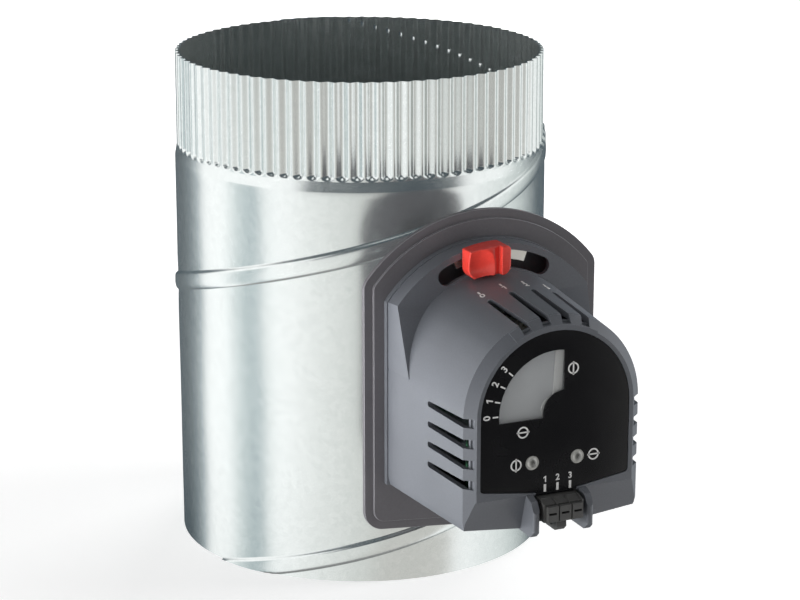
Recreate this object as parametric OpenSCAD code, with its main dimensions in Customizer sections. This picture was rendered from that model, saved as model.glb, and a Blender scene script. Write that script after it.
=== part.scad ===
// Motorized round duct damper: a crimped spiral-seam sleeve with a turning blade, and a
// plastic-cased actuator that stands off the sleeve on a steel bracket.
// Millimetres. Z runs up the duct from its plain end, and the actuator faces -Y.

/* [Duct sleeve] */
// Outside diameter of the sleeve
duct_d = 152.4; // [140:0.1:200]
// Overall length of the sleeve
duct_l = 203.2; // [196:0.1:260]
// Thickness of the galvanized sheet
sheet_t = 0.55; // [0.45:0.05:0.9]
// Length of the crimped end
crimp_l = 38.8; // [25:0.1:45]
// Number of crimps round the end
crimp_count = 90; // [60:1:96]
// Depth of each crimp
crimp_depth = 1.7; // [1:0.1:2.5]
// Rise of the spiral lock seam in one turn
seam_pitch = 122.8; // [90:0.1:160]
// Width of the seam
seam_w = 7.8; // [5:0.1:10]
// Height of the seam over the sheet
seam_h = 1.2; // [0.8:0.1:2]
// Height at which the seam first passes below the actuator
seam_z = 20.9; // [12:0.1:30]

/* [Blade and shaft] */
// Height of the shaft above the plain end
shaft_z = 101.6; // [95:0.1:105]
// Diameter of the blade shaft
shaft_d = 9.5; // [8:0.1:10]
// Radial clearance of the shaft in its bushings
shaft_fit = 0.05; // [0.03:0.01:0.1]
// Thickness of each blade plate
blade_t = 0.9; // [0.7:0.1:1.2]
// Thickness of the foam gasket between the blade plates
gasket_t = 3; // [2:0.1:4]
// Gap between the gasket's edge and the inside of the sleeve
gasket_gap = 0.45; // [0.3:0.05:1]
// How far the gasket stands out past the blade plates
gasket_lip = 3.2; // [2:0.1:6]

/* [Standoff bracket] */
// Distance from the sleeve to the back of the base plate
standoff = 38.1; // [30:0.1:55]
// Clear width between the bracket's legs
bracket_w = 25; // [22:0.1:27]
// Height of the bracket along the duct
bracket_h = 60; // [54:0.1:66]
// Thickness of the bracket's sheet
bracket_t = 1.5; // [1.2:0.1:2]
// Length of each foot of the bracket
foot_w = 8; // [7:0.1:9]

/* [Base plate] */
// Width of the base plate
plate_w = 96; // [94:0.1:104]
// Width of the base plate past the collar, along its arched top
plate_rim = 10.5; // [9:0.1:14]
// Distance from the shaft down to the corners of the base plate
plate_drop = 61; // [56:0.1:66]
// Thickness of the base plate
plate_t = 3; // [2.6:0.1:4]

/* [Housing] */
// Width of the housing at the base plate
foot_width = 80; // [79:0.1:84]
// Width of the housing where its front bevel starts
rim_width = 70.4; // [69:0.1:72]
// Width of the housing's flat front rim
face_width = 62.8; // [62:0.1:64]
// Depth of the housing from the base plate to the bevel
barrel_l = 57.7; // [57:0.1:62]
// Depth of the front bevel
bevel_l = 3.5; // [3:0.1:4]
// Width past the housing's foot of the collar that holds the stop lever's slot
collar_w = 9.5; // [9.2:0.1:11]
// Depth of the collar
collar_l = 9.7; // [9.4:0.1:12]
// Distance from the shaft down to the housing's lower corners
corner_drop = 42; // [41.5:0.1:44]
// Distance from the shaft down to the middle of the housing's bottom
keel_drop = 45; // [44.5:0.1:47]
// Thickness of the housing's wall
wall_t = 2.2; // [1.8:0.1:2.4]
// Width of each vent slot
vent_w = 2.2; // [1.5:0.1:2.6]

/* [Range stop] */
// Angle between two marks of the range stop
mark_step = 13.7; // [10:0.1:14]
// Thickness of the steel stop lever
lever_t = 1.6; // [1.2:0.1:2]

/* [Gear train] */
// Teeth of the output gear
output_teeth = 60; // [54:6:60]
// Teeth of the idler's small gear and of the motor pinion
pinion_teeth = 12; // [12:1:13]
// Teeth of the idler's large gear
wheel_teeth = 42; // [38:1:42]
// Module of the output gear
output_module = 0.7; // [0.65:0.01:0.7]
// Module of the motor pinion
motor_module = 0.6; // [0.55:0.01:0.6]
// Diameter of the drive motor
motor_d = 28; // [24:0.1:28]

/* [Terminals] */
// Spacing of the three terminals
pole_pitch = 5.08; // [4.8:0.01:5.1]
// Sideways place of the middle terminal
terminal_x = 0.7; // [0:0.1:1]

/* [Hidden] */
$fn = 96;

// Colours, as the finished object shows them
galvanized = "#c9cfcd";
zinc = "#b9bdbd";
case_grey = "#6e7279";
base_grey = "#4e4d50";
panel_black = "#1d1d1f";
knob_red = "#e0302a";
plug_grey = "#4b4b49";
nylon = "#e6e2d6";
board_green = "#2f6b45";
foam_black = "#2b2b2b";

// Every cut runs this far past the face it starts from
over = 1;
// Gap between pieces that lie side by side and don't run on each other
slack = 0.15;
// Gap between moving pieces that pass each other
run_gap = 0.4;

// Sleeve
duct_r = duct_d / 2;
bore_r = duct_r - sheet_t;
crimp_z = duct_l - crimp_l;
crest_drop = 0.85;
crimp_run = 2.6;
crimp_points = 4;
// Shares of one crimp's width: edges of its crest and of its valley
crimp_edge_shares = [0.08, 0.42, 0.58, 0.92];
seam_steps = 72;
seam_bevel = 0.6;
seam_fade = 18;

// Bushings and shaft
bushing_wall = 1.6;
bushing_flange_w = 3.7;
bushing_flange_t = 1.6;
bushing_depth = 2.6;
shaft_r = shaft_d / 2;
bushing_bore = shaft_r + shaft_fit;
bushing_r = shaft_r + bushing_wall;
bushing_hole = bushing_r + slack / 3;
bushing_flange_r = shaft_r + bushing_flange_w;
clip_t = 1;
clip_w = 2.4;
clip_out = duct_r + bushing_flange_t + run_gap / 2;
shaft_tail = 3;
shaft_back = clip_out + clip_t + shaft_tail;

// Blade
gasket_r = bore_r - gasket_gap;
blade_r = gasket_r - gasket_lip;
channel_r = shaft_r + slack / 3;
hub_clear = 1.4;
bolt_r = 2;
bolt_head_r = 3.6;
bolt_head_t = 2;
bolt_place_share = 0.55;
rivet_r = 1.6;
rivet_head_r = 3;
rivet_head_t = 1.1;
rivet_ring_share = 0.83;
rivet_angles = [0, 50, 130, 180, 230, 310];

// Distances outward from the duct's axis
plate_back = duct_r + standoff;
plate_front = plate_back + plate_t;
collar_front = plate_front + collar_l;
rim_out = plate_front + barrel_l;
face_out = rim_out + bevel_l;

// Bracket
bracket_hole_r = bracket_w / 2 - bracket_t;
rivet_inset = 3.6;
foot_rivet_r = 1.6;
foot_rivet_head_r = 2.6;
foot_rivet_head_t = 1;
foot_rivet_y = bracket_h / 2 - 2 * rivet_inset;

// Base plate outline
plate_step = 3.5;
plate_step_t = 1;
plate_corner = 8;
plate_top_corner = 3;
plate_keel = 3.6;
arc_steps = 8;

// Screws that hold the base plate to the bracket
plate_screw_x = 7.6;
plate_screw_y = 22;
screw_r = 1.9;
screw_head_r = 3.4;
screw_head_t = 2;
screw_grip = 2;

// Housing shell
foot_half = foot_width / 2;
rim_half = rim_width / 2;
face_half = face_width / 2;
draft = (foot_half - rim_half) / barrel_l;
collar_r = foot_half + collar_w;
plate_r = collar_r + plate_rim;
taper_h = 3;
taper_w = 0.8;
face_wall = 2.8;
cavity_front = face_out - face_wall;
collar_wall = 2;
collar_skin = 2;
collar_draft = 0.5;
collar_start = 4;
ramp_top_share = 0.59;
ramp_rise = 8.5;
chin_top = 30.6;
chin_lean = 5;
notch_back = 11;

// Arc slot and its marks
slot_gap = 0.7;
slot_w = 6.9;
slot_in = half_at(collar_front) + slot_gap;
slot_out = slot_in + slot_w;
slot_half = 26.6;
slot_mid = (slot_in + slot_out) / 2;
slot_r = (slot_out - slot_in) / 2;

// Vents: four on each side and four along the top, one for each mark
vent_l = 25.5;
vent_first = 1;
vent_step = 7.7;
vent_count = 4;
vent_cut = wall_t + slack;
vent_flare = 1.3;
vent_rim_w = vent_w + vent_flare;
vent_land = 0.7;
vent_floor = cavity_front + 0.6;

// Flange round the housing's foot, and the pad on its bevel that the top vents cross
flange_w = 0.4;
flange_h = 2.4;
rim_pad_t = 0.5;
rim_pad_side = 10;
rim_pad_turn = (vent_count - 1) / 2 * mark_step + rim_pad_side;

// Faceplate
panel_half = 29.8;
panel_t = 0.8;
panel_seat = 1.2;
panel_corner = 1.5;
panel_low = 27.3;
panel_keel = 30.2;
panel_tab_low = 31.2;
panel_tab_half = 8.2;
window_r = 22.5;
window_right = 3.3;
window_low = 2.4;
window_hub = 8.2;
window_drop = 1;
lens_edge = 1.1;
lens_t = 0.5;
lamp_x = 9.1;
lamp_y = 18.7;
lamp_r = 2.6;
lamp_flange = 0.4;
lamp_flange_t = 1;
lamp_proud = 0.9;

// Dial behind the window
aperture_r = 25;
aperture_side = 5.5;
aperture_hub = 6.6;
dial_edge = 1.4;
dial_t = 1;
pointer_t = 0.5;
pointer_gap = 0.3;
pointer_angle = 86.5;
pointer_r = 22.8;
pointer_half = 1.6;
pointer_shift = 0.9;
pointer_hub_r = 5;
stem_r = 3;
stem_base_r = 6.2;
stem_base_t = 1.5;

// Bosses of the base plate and the housing
boss_r = 3.4;
cover_screw_r = 1.3;
cover_screw_l = 8;
upper_boss_turn = 36.9;
upper_boss_out = 1;
upper_boss_x = (foot_half + upper_boss_out) * cos(upper_boss_turn);
upper_boss_y = (foot_half + upper_boss_out) * sin(upper_boss_turn);
lower_boss_x = foot_half - wall_t - boss_r + run_gap / 2;
lower_boss_y = 29;
lower_boss_l = 16;
lever_boss_r = 9;
lever_boss_bore = shaft_r + 2 * run_gap;
lever_out = plate_front + 4.7;
washer_t = 0.8;
washer_r = 12;
washer_out = lever_out + lever_t + run_gap / 2;

// Stop lever
lever_ring_r = 15.5;
lever_fit = 0.06;
lever_arm_half = 6;
strip_inset = 2.7;
strip_w = 3.8;
strip_in = slot_in + strip_inset;
strip_out = strip_in + strip_w;
strip_half = 19;
stem_inset = 1.1;
stem_in = slot_in + stem_inset;
stem_half = 3.6;

// Knob of the stop lever
knob_in = slot_in + run_gap / 2;
knob_w = 10.9;
knob_out = knob_in + knob_w;
knob_left = 13.6;
knob_right = 1.6;
knob_h = 10.4;
knob_round = 5;
knob_fin = 3.6;
knob_fin_h = 1.4;
knob_fin_round = 4;
knob_tip_round = 1.6;
groove_w = 2.8;
groove_depth = 1;
dish_r = 14;
dish_depth = 3;
dish_x = 12.2;
dish_out = 2.6;

// Gear train
gear_gap = 0.6;
pressure = 25;
backlash = 0.09;
addendum = 1;
dedendum = 1.25;
flank_steps = 3;
output_t = 5;
wheel_t = 3;
hub_r = 7;
hub_start = washer_out + washer_t + run_gap;
output_out = hub_start + 2;
wheel_out = output_out + output_t + 2 * gear_gap;
plate_gap = 3.4;
gear_plate_t = 1.2;
gear_plate_out = wheel_out + wheel_t + plate_gap;
gear_plate_front = gear_plate_out + gear_plate_t;
hub_end = gear_plate_out - run_gap;
shaft_front = hub_end - 2;
output_pitch_r = output_module * output_teeth / 2;
idler_small_r = output_module * pinion_teeth / 2;
idler_large_r = motor_module * wheel_teeth / 2;
motor_pinion_r = motor_module * pinion_teeth / 2;
idler_turn = 232;
motor_turn = 348;
idler_reach = output_pitch_r + idler_small_r;
motor_reach = idler_large_r + motor_pinion_r;
idler_x = idler_reach * cos(idler_turn);
idler_y = idler_reach * sin(idler_turn);
motor_x = idler_x + motor_reach * cos(motor_turn);
motor_y = idler_y + motor_reach * sin(motor_turn);
idler_pin_r = 1.5;
idler_fit = 0.06;
idler_seat_r = 3;
motor_shaft_r = 1.2;
post_r = 2.8;
gear_hub_hole = hub_r + 1;
// Posts that carry the gear plate, as shares of half the housing's foot and of its depth below the shaft
post_shares = [[0.65, -0.31], [-0.76, -0.03], [0.38, -0.82]];
post_screw_r = 1.3;
post_screw_l = 8;
small_head_r = 2.4;
small_head_t = 1.2;

// Motor
motor_l = 15.5;
motor_ear_t = 1.2;
motor_ear_r = 3.2;
motor_ear_x = motor_d / 2 + 2.4;

// Circuit board
board_half = 29;
board_top = 8;
board_low = 39.5;
board_t = 1.6;
board_out = face_out - 14;
board_front = board_out + board_t;
board_screw_x = 24.5;
board_screw_y = 13;
board_post_r = 2.8;

// Terminals
rib_t = 0.6;
plug_half = 1.5 * pole_pitch + rib_t / 2;
guard_half = plug_half + 1.6;
guard_t = 2.6;
guard_round = 1;
guard_out = 6;
guard_low = keel_drop + 0.4;
header_side = 1.1;
header_half = guard_half - slack * 2;
header_low = 42.2;
header_floor_t = 1.6;
header_back_t = 1.8;
header_l = 10.4;
plug_top = 31.9;
plug_low = 39.8;
plug_fit = 0.3;
plug_front = face_out + 7.4;
plug_back = board_front + header_back_t + plug_fit;
plug_step_out = face_out + 0.9;
lever_seat = 2.4;
cell_groove = 0.5;
cell_depth = 1.6;
cell_rebate = 0.9;
wire_w = 3.2;
wire_h = 0.8;
wire_l = 9;
wire_y = 36.3;
tongue_half = 1.9;
release_half = (pole_pitch - rib_t) / 2 - 0.1;
release_pin_r = 0.5;
release_pivot_out = face_out + 2.1;
release_pivot_y = plug_top + 1.1;
release_fit = 0.08;

// Everything on the shaft is drawn with X to the right, Y up and Z outward
module on_shaft_axis() {
    translate([0, 0, shaft_z]) rotate([90, 0, 0]) children();
}

// A prism drawn in the plane of depth and height, as wide as w and centred on x
module side_prism(points, x, w) {
    translate([x - w / 2, 0, 0]) rotate([90, 0, 90]) linear_extrude(height = w)
        polygon([for (p = points) [p[1], p[0]]]);
}

// Points of an arc about c, from angle a0 to angle a1
function arc(c, r, a0, a1, steps) =
    [for (i = [0:steps]) let (a = a0 + (a1 - a0) * i / steps) [c[0] + r * cos(a), c[1] + r * sin(a)]];

module ring(r_out, r_in, h) {
    difference() {
        cylinder(r = r_out, h = h);
        translate([0, 0, -over]) cylinder(r = r_in, h = h + 2 * over);
    }
}

// A pan-head screw whose head sits on z = 0 and whose shank runs down
module pan_screw(shank, length, head, head_h) {
    translate([0, 0, -length]) cylinder(r = shank, h = length, $fn = 24);
    cylinder(r = head, h = head_h, $fn = 32);
}

// Both ends of the sleeve and its seam

module duct_sleeve() {
    color(galvanized) difference() {
        cylinder(r = duct_r, h = crimp_z, $fn = 180);
        translate([0, 0, -over]) cylinder(r = bore_r, h = crimp_z + 2 * over, $fn = 180);
        on_shaft_axis() translate([0, 0, -duct_r - over])
            cylinder(r = bushing_hole, h = duct_d + 2 * over);
    }
}

// A closed tube of rings, each a list of the same number of points
module swept(rings) {
    m = len(rings);
    k = len(rings[0]);
    points = [for (r = rings) for (p = r) p];
    side_faces = [for (i = [0:m - 2]) for (j = [0:k - 1]) for (t = [0, 1])
        let (a = i * k + j, b = i * k + (j + 1) % k)
        t == 0 ? [a, b + k, a + k] : [a, b, b + k]];
    start_faces = [for (j = [1:k - 2]) [0, j + 1, j]];
    end_faces = [for (j = [1:k - 2]) [(m - 1) * k, (m - 1) * k + j, (m - 1) * k + j + 1]];
    polyhedron(points = points, faces = concat(side_faces, start_faces, end_faces));
}

// The seam is a folded lock: a flat raised band that climbs the sleeve in a long helix
function seam_ring(turn) =
    let (middle = seam_z + seam_pitch * turn / 360,
         half = seam_w / 2 / cos(atan(seam_pitch / (2 * PI * duct_r))),
         inner = duct_r / cos(180 / seam_steps),
         left = (crimp_z - middle) / seam_pitch * 360,
         rise = seam_h * min(1, max(left + seam_fade, seam_fade / 6) / (2 * seam_fade)),
         low = min(max(middle - half, 0), crimp_z - seam_bevel),
         high = min(max(middle + half, seam_bevel), crimp_z),
         edge = min(seam_bevel, (high - low) / 3),
         a = turn - 90)
    [for (p = [[inner, low], [inner + rise, low + edge], [inner + rise, high - edge], [inner, high]])
        [p[0] * cos(a), p[0] * sin(a), p[1]]];

module spiral_seam() {
    half = seam_w / 2 / cos(atan(seam_pitch / (2 * PI * duct_r)));
    first = (-seam_z - half + seam_bevel) / seam_pitch * 360;
    last = (crimp_z - seam_z + half - seam_bevel) / seam_pitch * 360;
    count = ceil((last - first) / 360 * seam_steps);
    color(galvanized) swept([for (i = [0:count]) seam_ring(first + (last - first) * i / count)]);
}

// The crimps narrow the sheet at this end, so that it slips inside the next duct
function crimp_ring(z, crest, depth, thick) =
    [for (i = [0:crimp_count - 1]) for (j = [0:crimp_points - 1])
        let (a = 360 * (i + crimp_edge_shares[j]) / crimp_count,
             r = crest - (j < crimp_points / 2 ? 0 : depth) - thick)
        [r * cos(a), r * sin(a), z]];

module crimped_end() {
    k = crimp_count * crimp_points;
    crest = duct_r - crest_drop;
    rings = [
        crimp_ring(crimp_z, duct_r, 0, 0),
        crimp_ring(crimp_z + crimp_run, duct_r - crest_drop / 4, crimp_depth, 0),
        crimp_ring(duct_l, crest, crimp_depth, 0),
        crimp_ring(duct_l, crest, crimp_depth, sheet_t),
        crimp_ring(crimp_z + crimp_run, duct_r - crest_drop / 4, crimp_depth, sheet_t),
        crimp_ring(crimp_z, duct_r, 0, sheet_t)
    ];
    m = len(rings);
    color(galvanized) polyhedron(
        points = [for (r = rings) for (p = r) p],
        faces = [for (i = [0:m - 1]) for (j = [0:k - 1]) for (t = [0, 1])
            let (a = i * k + j, b = i * k + (j + 1) % k,
                 c = ((i + 1) % m) * k + j, d = ((i + 1) % m) * k + (j + 1) % k)
            t == 0 ? [a, c, d] : [a, d, b]]);
}

// Nylon bushings snap into the sleeve and carry the shaft

module bushing() {
    difference() {
        union() {
            translate([0, 0, duct_r - bushing_depth]) cylinder(r = bushing_r, h = bushing_depth);
            translate([0, 0, duct_r]) cylinder(r = bushing_flange_r, h = bushing_flange_t);
        }
        translate([0, 0, duct_r - bushing_depth - over])
            cylinder(r = bushing_bore, h = bushing_depth + bushing_flange_t + 2 * over);
    }
}

module near_bushing() {
    color(nylon) on_shaft_axis() bushing();
}

module far_bushing() {
    color(nylon) on_shaft_axis() mirror([0, 0, 1]) bushing();
}

// The bracket is one folded strip: a web behind the base plate, two legs and two curved feet

module standoff_bracket() {
    leg_in = bracket_w / 2;
    leg_out = leg_in + bracket_t;
    foot_out = leg_out + foot_w;
    color(zinc) on_shaft_axis() difference() {
        union() {
            translate([-leg_out, -bracket_h / 2, plate_back - bracket_t])
                cube([2 * leg_out, bracket_h, bracket_t]);
            for (side = [-1, 1]) translate([side * (leg_in + bracket_t / 2), 0, 0]) difference() {
                translate([-bracket_t / 2, -bracket_h / 2, 0])
                    cube([bracket_t, bracket_h, plate_back - bracket_t / 2]);
                translate([-side * (leg_in + bracket_t / 2), -bracket_h / 2 - over, 0])
                    rotate([-90, 0, 0]) cylinder(r = duct_r, h = bracket_h + 2 * over, $fn = 180);
            }
            for (side = [0, 1]) mirror([side, 0, 0]) intersection() {
                translate([0, bracket_h / 2, 0]) rotate([90, 0, 0]) difference() {
                    cylinder(r = duct_r + bracket_t, h = bracket_h, $fn = 180);
                    translate([0, 0, -over]) cylinder(r = duct_r, h = bracket_h + 2 * over, $fn = 180);
                }
                translate([leg_in, -bracket_h, 0]) cube([foot_out - leg_in, 2 * bracket_h, duct_d]);
            }
        }
        translate([0, 0, plate_back - bracket_t - over])
            cylinder(r = bracket_hole_r, h = bracket_t + 2 * over);
        for (x = [-1, 1]) for (y = [-1, 1])
            translate([x * plate_screw_x, y * plate_screw_y, plate_back - bracket_t - over])
                cylinder(r = screw_r, h = bracket_t + 2 * over, $fn = 24);
        for (x = [-1, 1]) for (y = [-1, 1]) at_foot(x, y)
            translate([0, 0, -over]) cylinder(r = foot_rivet_r, h = bracket_t + 2 * over, $fn = 24);
    }
}

// The middle of each foot, with Z square to the sleeve
module at_foot(x, y) {
    turn = asin((bracket_w / 2 + bracket_t + foot_w - rivet_inset) / duct_r);
    rotate([0, x * turn, 0]) translate([0, y * foot_rivet_y, duct_r]) children();
}

module bracket_rivets() {
    color(zinc) on_shaft_axis() for (x = [-1, 1]) for (y = [-1, 1]) at_foot(x, y) {
        cylinder(r = foot_rivet_r, h = bracket_t, $fn = 24);
        translate([0, 0, bracket_t]) cylinder(r = foot_rivet_head_r, h = foot_rivet_head_t, $fn = 32);
    }
}

// An outline with a round arch on top, straight sides and small corners where they meet
function arched_top(half, r, fillet, steps) =
    let (y = sqrt(pow(r - fillet, 2) - pow(half - fillet, 2)), a = atan(y / (half - fillet)))
    concat(arc([half - fillet, y], fillet, 0, a, 4), arc([0, 0], r, a, 180 - a, steps),
           arc([fillet - half, y], fillet, 180 - a, 180, 4));

function plate_outline(inset) =
    let (half = plate_w / 2 - inset, low = plate_drop - inset, c = plate_corner - inset)
    concat(arched_top(half, plate_r - inset, plate_top_corner * 2 - inset, 4 * arc_steps),
           arc([c - half, c - low], c, 180, 262, arc_steps), [[0, -low - plate_keel]],
           arc([half - c, c - low], c, 278, 360, arc_steps));

// The base plate carries the bearing boss of the stop lever and every post of the gear train
module base_plate() {
    color(base_grey) on_shaft_axis() difference() {
        union() {
            translate([0, 0, plate_back]) linear_extrude(height = plate_t - plate_step_t)
                polygon(plate_outline(0));
            translate([0, 0, plate_front - plate_step_t]) linear_extrude(height = plate_step_t)
                polygon(plate_outline(plate_step));
            translate([0, 0, plate_back])
                cylinder(r = lever_boss_r + wall_t, h = lever_out - run_gap / 2 - plate_back);
            translate([0, 0, plate_back]) cylinder(r = lever_boss_r, h = washer_out + washer_t - plate_back);
            for (p = post_shares) translate([p[0] * foot_half, p[1] * keel_drop, plate_back])
                cylinder(r = post_r, h = gear_plate_out - plate_back, $fn = 32);
            translate([idler_x, idler_y, plate_back])
                cylinder(r = idler_seat_r, h = output_out - gear_gap - plate_back, $fn = 32);
        }
        translate([0, 0, plate_back - over])
            cylinder(r = lever_boss_bore, h = washer_out + washer_t - plate_back + 2 * over);
        for (x = [-1, 1]) for (y = [-1, 1])
            translate([x * plate_screw_x, y * plate_screw_y, plate_back - over])
                cylinder(r = screw_r, h = plate_t + 2 * over, $fn = 24);
        for (b = cover_bosses()) translate([b[0], b[1], plate_back - over])
            cylinder(r = cover_screw_r + slack, h = plate_t + 2 * over, $fn = 24);
        for (p = post_shares)
            translate([p[0] * foot_half, p[1] * keel_drop, gear_plate_out - post_screw_l])
                cylinder(r = post_screw_r, h = post_screw_l + over, $fn = 24);
        translate([idler_x, idler_y, plate_front])
            cylinder(r = idler_pin_r, h = output_out - plate_front, $fn = 32);
    }
}

// Where the housing's four screw bosses stand
function cover_bosses() = [
    [-upper_boss_x, upper_boss_y], [upper_boss_x, upper_boss_y],
    [-lower_boss_x, -lower_boss_y], [lower_boss_x, -lower_boss_y]
];

module plate_screws() {
    color(zinc) on_shaft_axis() for (x = [-1, 1]) for (y = [-1, 1])
        translate([x * plate_screw_x, y * plate_screw_y, plate_front])
            pan_screw(screw_r, plate_t + bracket_t + screw_grip, screw_head_r, screw_head_t);
}

// Housing: a drafted D-shaped barrel over a wider collar, closed at the front by a bevelled rim

// Half the housing's width at distance z outward
function half_at(z) = foot_half - draft * (z - plate_front);

// The lower half's outline for a given half width: straight sides, tapered corners, shallow keel
function lower_outline(half, corner, keel) = [
    [half, 0], [half, taper_h - corner], [half - taper_w, -corner], [guard_half, -keel],
    [-guard_half, -keel], [taper_w - half, -corner], [-half, taper_h - corner], [-half, 0]
];

// The barrel's revolved upper half and lofted lower half, drawn in by inset and ended at front
module barrel(inset, start, front) {
    bevel = rim_half - face_half;
    stations = front > rim_out
        ? [[start, half_at(start) - inset], [rim_out, rim_half - inset],
           [front, rim_half - inset - bevel * (front - rim_out) / bevel_l]]
        : [[start, half_at(start) - inset], [front, half_at(front) - inset]];
    rotate_extrude(angle = 180, $fn = 120) polygon(concat([[0, start]],
        [for (s = stations) [s[1], s[0]]], [[0, front]]));
    swept([for (s = stations) [for (p = lower_outline(s[1], corner_drop - inset, keel_drop - inset))
        [p[0], p[1], s[0]]]]);
}

// A prism drawn in the plane of width and depth, from height y0 to height y1
module flat_prism(points, y0, y1) {
    translate([0, y1, 0]) rotate([90, 0, 0]) linear_extrude(height = y1 - y0) polygon(points);
}

// The collar's solid, or its cavity when it is drawn in and shortened
module collar(inset, start, skin) {
    top = collar_front - skin;
    ramp_end = top + (skin > 0 ? 0 : ramp_rise);
    intersection() {
        translate([0, 0, start])
            cylinder(r1 = collar_r - inset, r2 = collar_r - inset - collar_draft, h = ramp_end - start,
                     $fn = 120);
        flat_prism([[-half_at(start) + inset, start], [half_at(start) - inset, start],
                    [half_at(ramp_end) - inset, ramp_end], [-half_at(ramp_end) + inset, ramp_end]],
                   collar_start, collar_r + over);
        side_prism([[start, collar_start], [ramp_end, collar_start],
                    [top, collar_r * ramp_top_share], [top, collar_r + over],
                    [start, collar_r + over]], 0, foot_width);
    }
}

// A slot through the wall, round at its back end, that widens towards the rim and notches the bevel
module vent() {
    start = rim_out - vent_l;
    end = face_half + vent_land;
    intersection() {
        flat_prism([[half_at(start) - vent_cut, start], [foot_half + over, start],
                    [foot_half + over, face_out + over], [end, face_out + over], [end, vent_floor],
                    [rim_half - vent_cut, vent_floor]], -vent_rim_w, vent_rim_w);
        side_prism(concat(arc([start + vent_w / 2, 0], vent_w / 2, 90, 270, arc_steps),
                          [[face_out + over, -vent_rim_w / 2], [face_out + over, vent_rim_w / 2]]),
                   foot_half, foot_half);
    }
}

// A low flange round the foot of the housing, with square lower corners
module foot_flange() {
    half = foot_half + flange_w;
    r = collar_r + flange_w;
    turn = acos(half / r);
    translate([0, 0, plate_front]) linear_extrude(height = flange_h) polygon(concat(
        arc([0, 0], r, turn, 180 - turn, 4 * arc_steps),
        [[-half, -corner_drop], [-guard_half, -keel_drop - flange_w],
         [guard_half, -keel_drop - flange_w], [half, -corner_drop]]));
}

// The bevel stands proud where the four top vents cross it
module rim_pad() {
    slope = bevel_l / (rim_half - face_half);
    edge = rim_half - rim_pad_t / 2;
    rotate([0, 0, 90 - rim_pad_turn]) rotate_extrude(angle = 2 * rim_pad_turn, $fn = 120) polygon([
        [rim_half - wall_t / 2, rim_out], [edge, rim_out],
        [edge, rim_out + rim_pad_t + slope * (rim_half - edge)],
        [face_half + rim_pad_t / slope, face_out], [face_half - slack, face_out],
        [face_half - slack, face_out - face_wall / 2]]);
}

module arc_slot() {
    translate([0, 0, collar_front - collar_skin - over]) {
        rotate([0, 0, 90 - slot_half]) rotate_extrude(angle = 2 * slot_half, $fn = 120)
            translate([slot_in, 0]) square([slot_out - slot_in, collar_skin + 2 * over]);
        for (side = [-1, 1]) rotate([0, 0, side * slot_half]) translate([0, slot_mid, 0])
            cylinder(r = slot_r, h = collar_skin + 2 * over, $fn = 48);
    }
}

function panel_outline(gap) = concat(
    arc([0, 0], panel_half + gap, 0, 180, 4 * arc_steps),
    arc([panel_corner - panel_half, panel_corner - panel_low], panel_corner + gap, 180, 265, 3),
    [[terminal_x - panel_tab_half - gap, -panel_keel - gap],
     [terminal_x - panel_tab_half - gap, -panel_tab_low - gap],
     [terminal_x + panel_tab_half + gap, -panel_tab_low - gap],
     [terminal_x + panel_tab_half + gap, -panel_keel - gap]],
    arc([panel_half - panel_corner, panel_corner - panel_low], panel_corner + gap, 275, 360, 3));

// The window is a quarter ring whose inner corner is hollowed round the pointer's hub
function window_outline(edge) =
    let (r = window_r + edge, right = window_right + edge, low = window_low + edge)
    concat(arc([0, 0], r, acos(right / r), 180 + asin(low / r), 2 * arc_steps),
           [[window_right - window_hub + edge, -low]],
           arc([window_right, -window_drop], window_hub - edge, 180, 90, arc_steps),
           [[right, window_hub - window_drop - edge]]);

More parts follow.
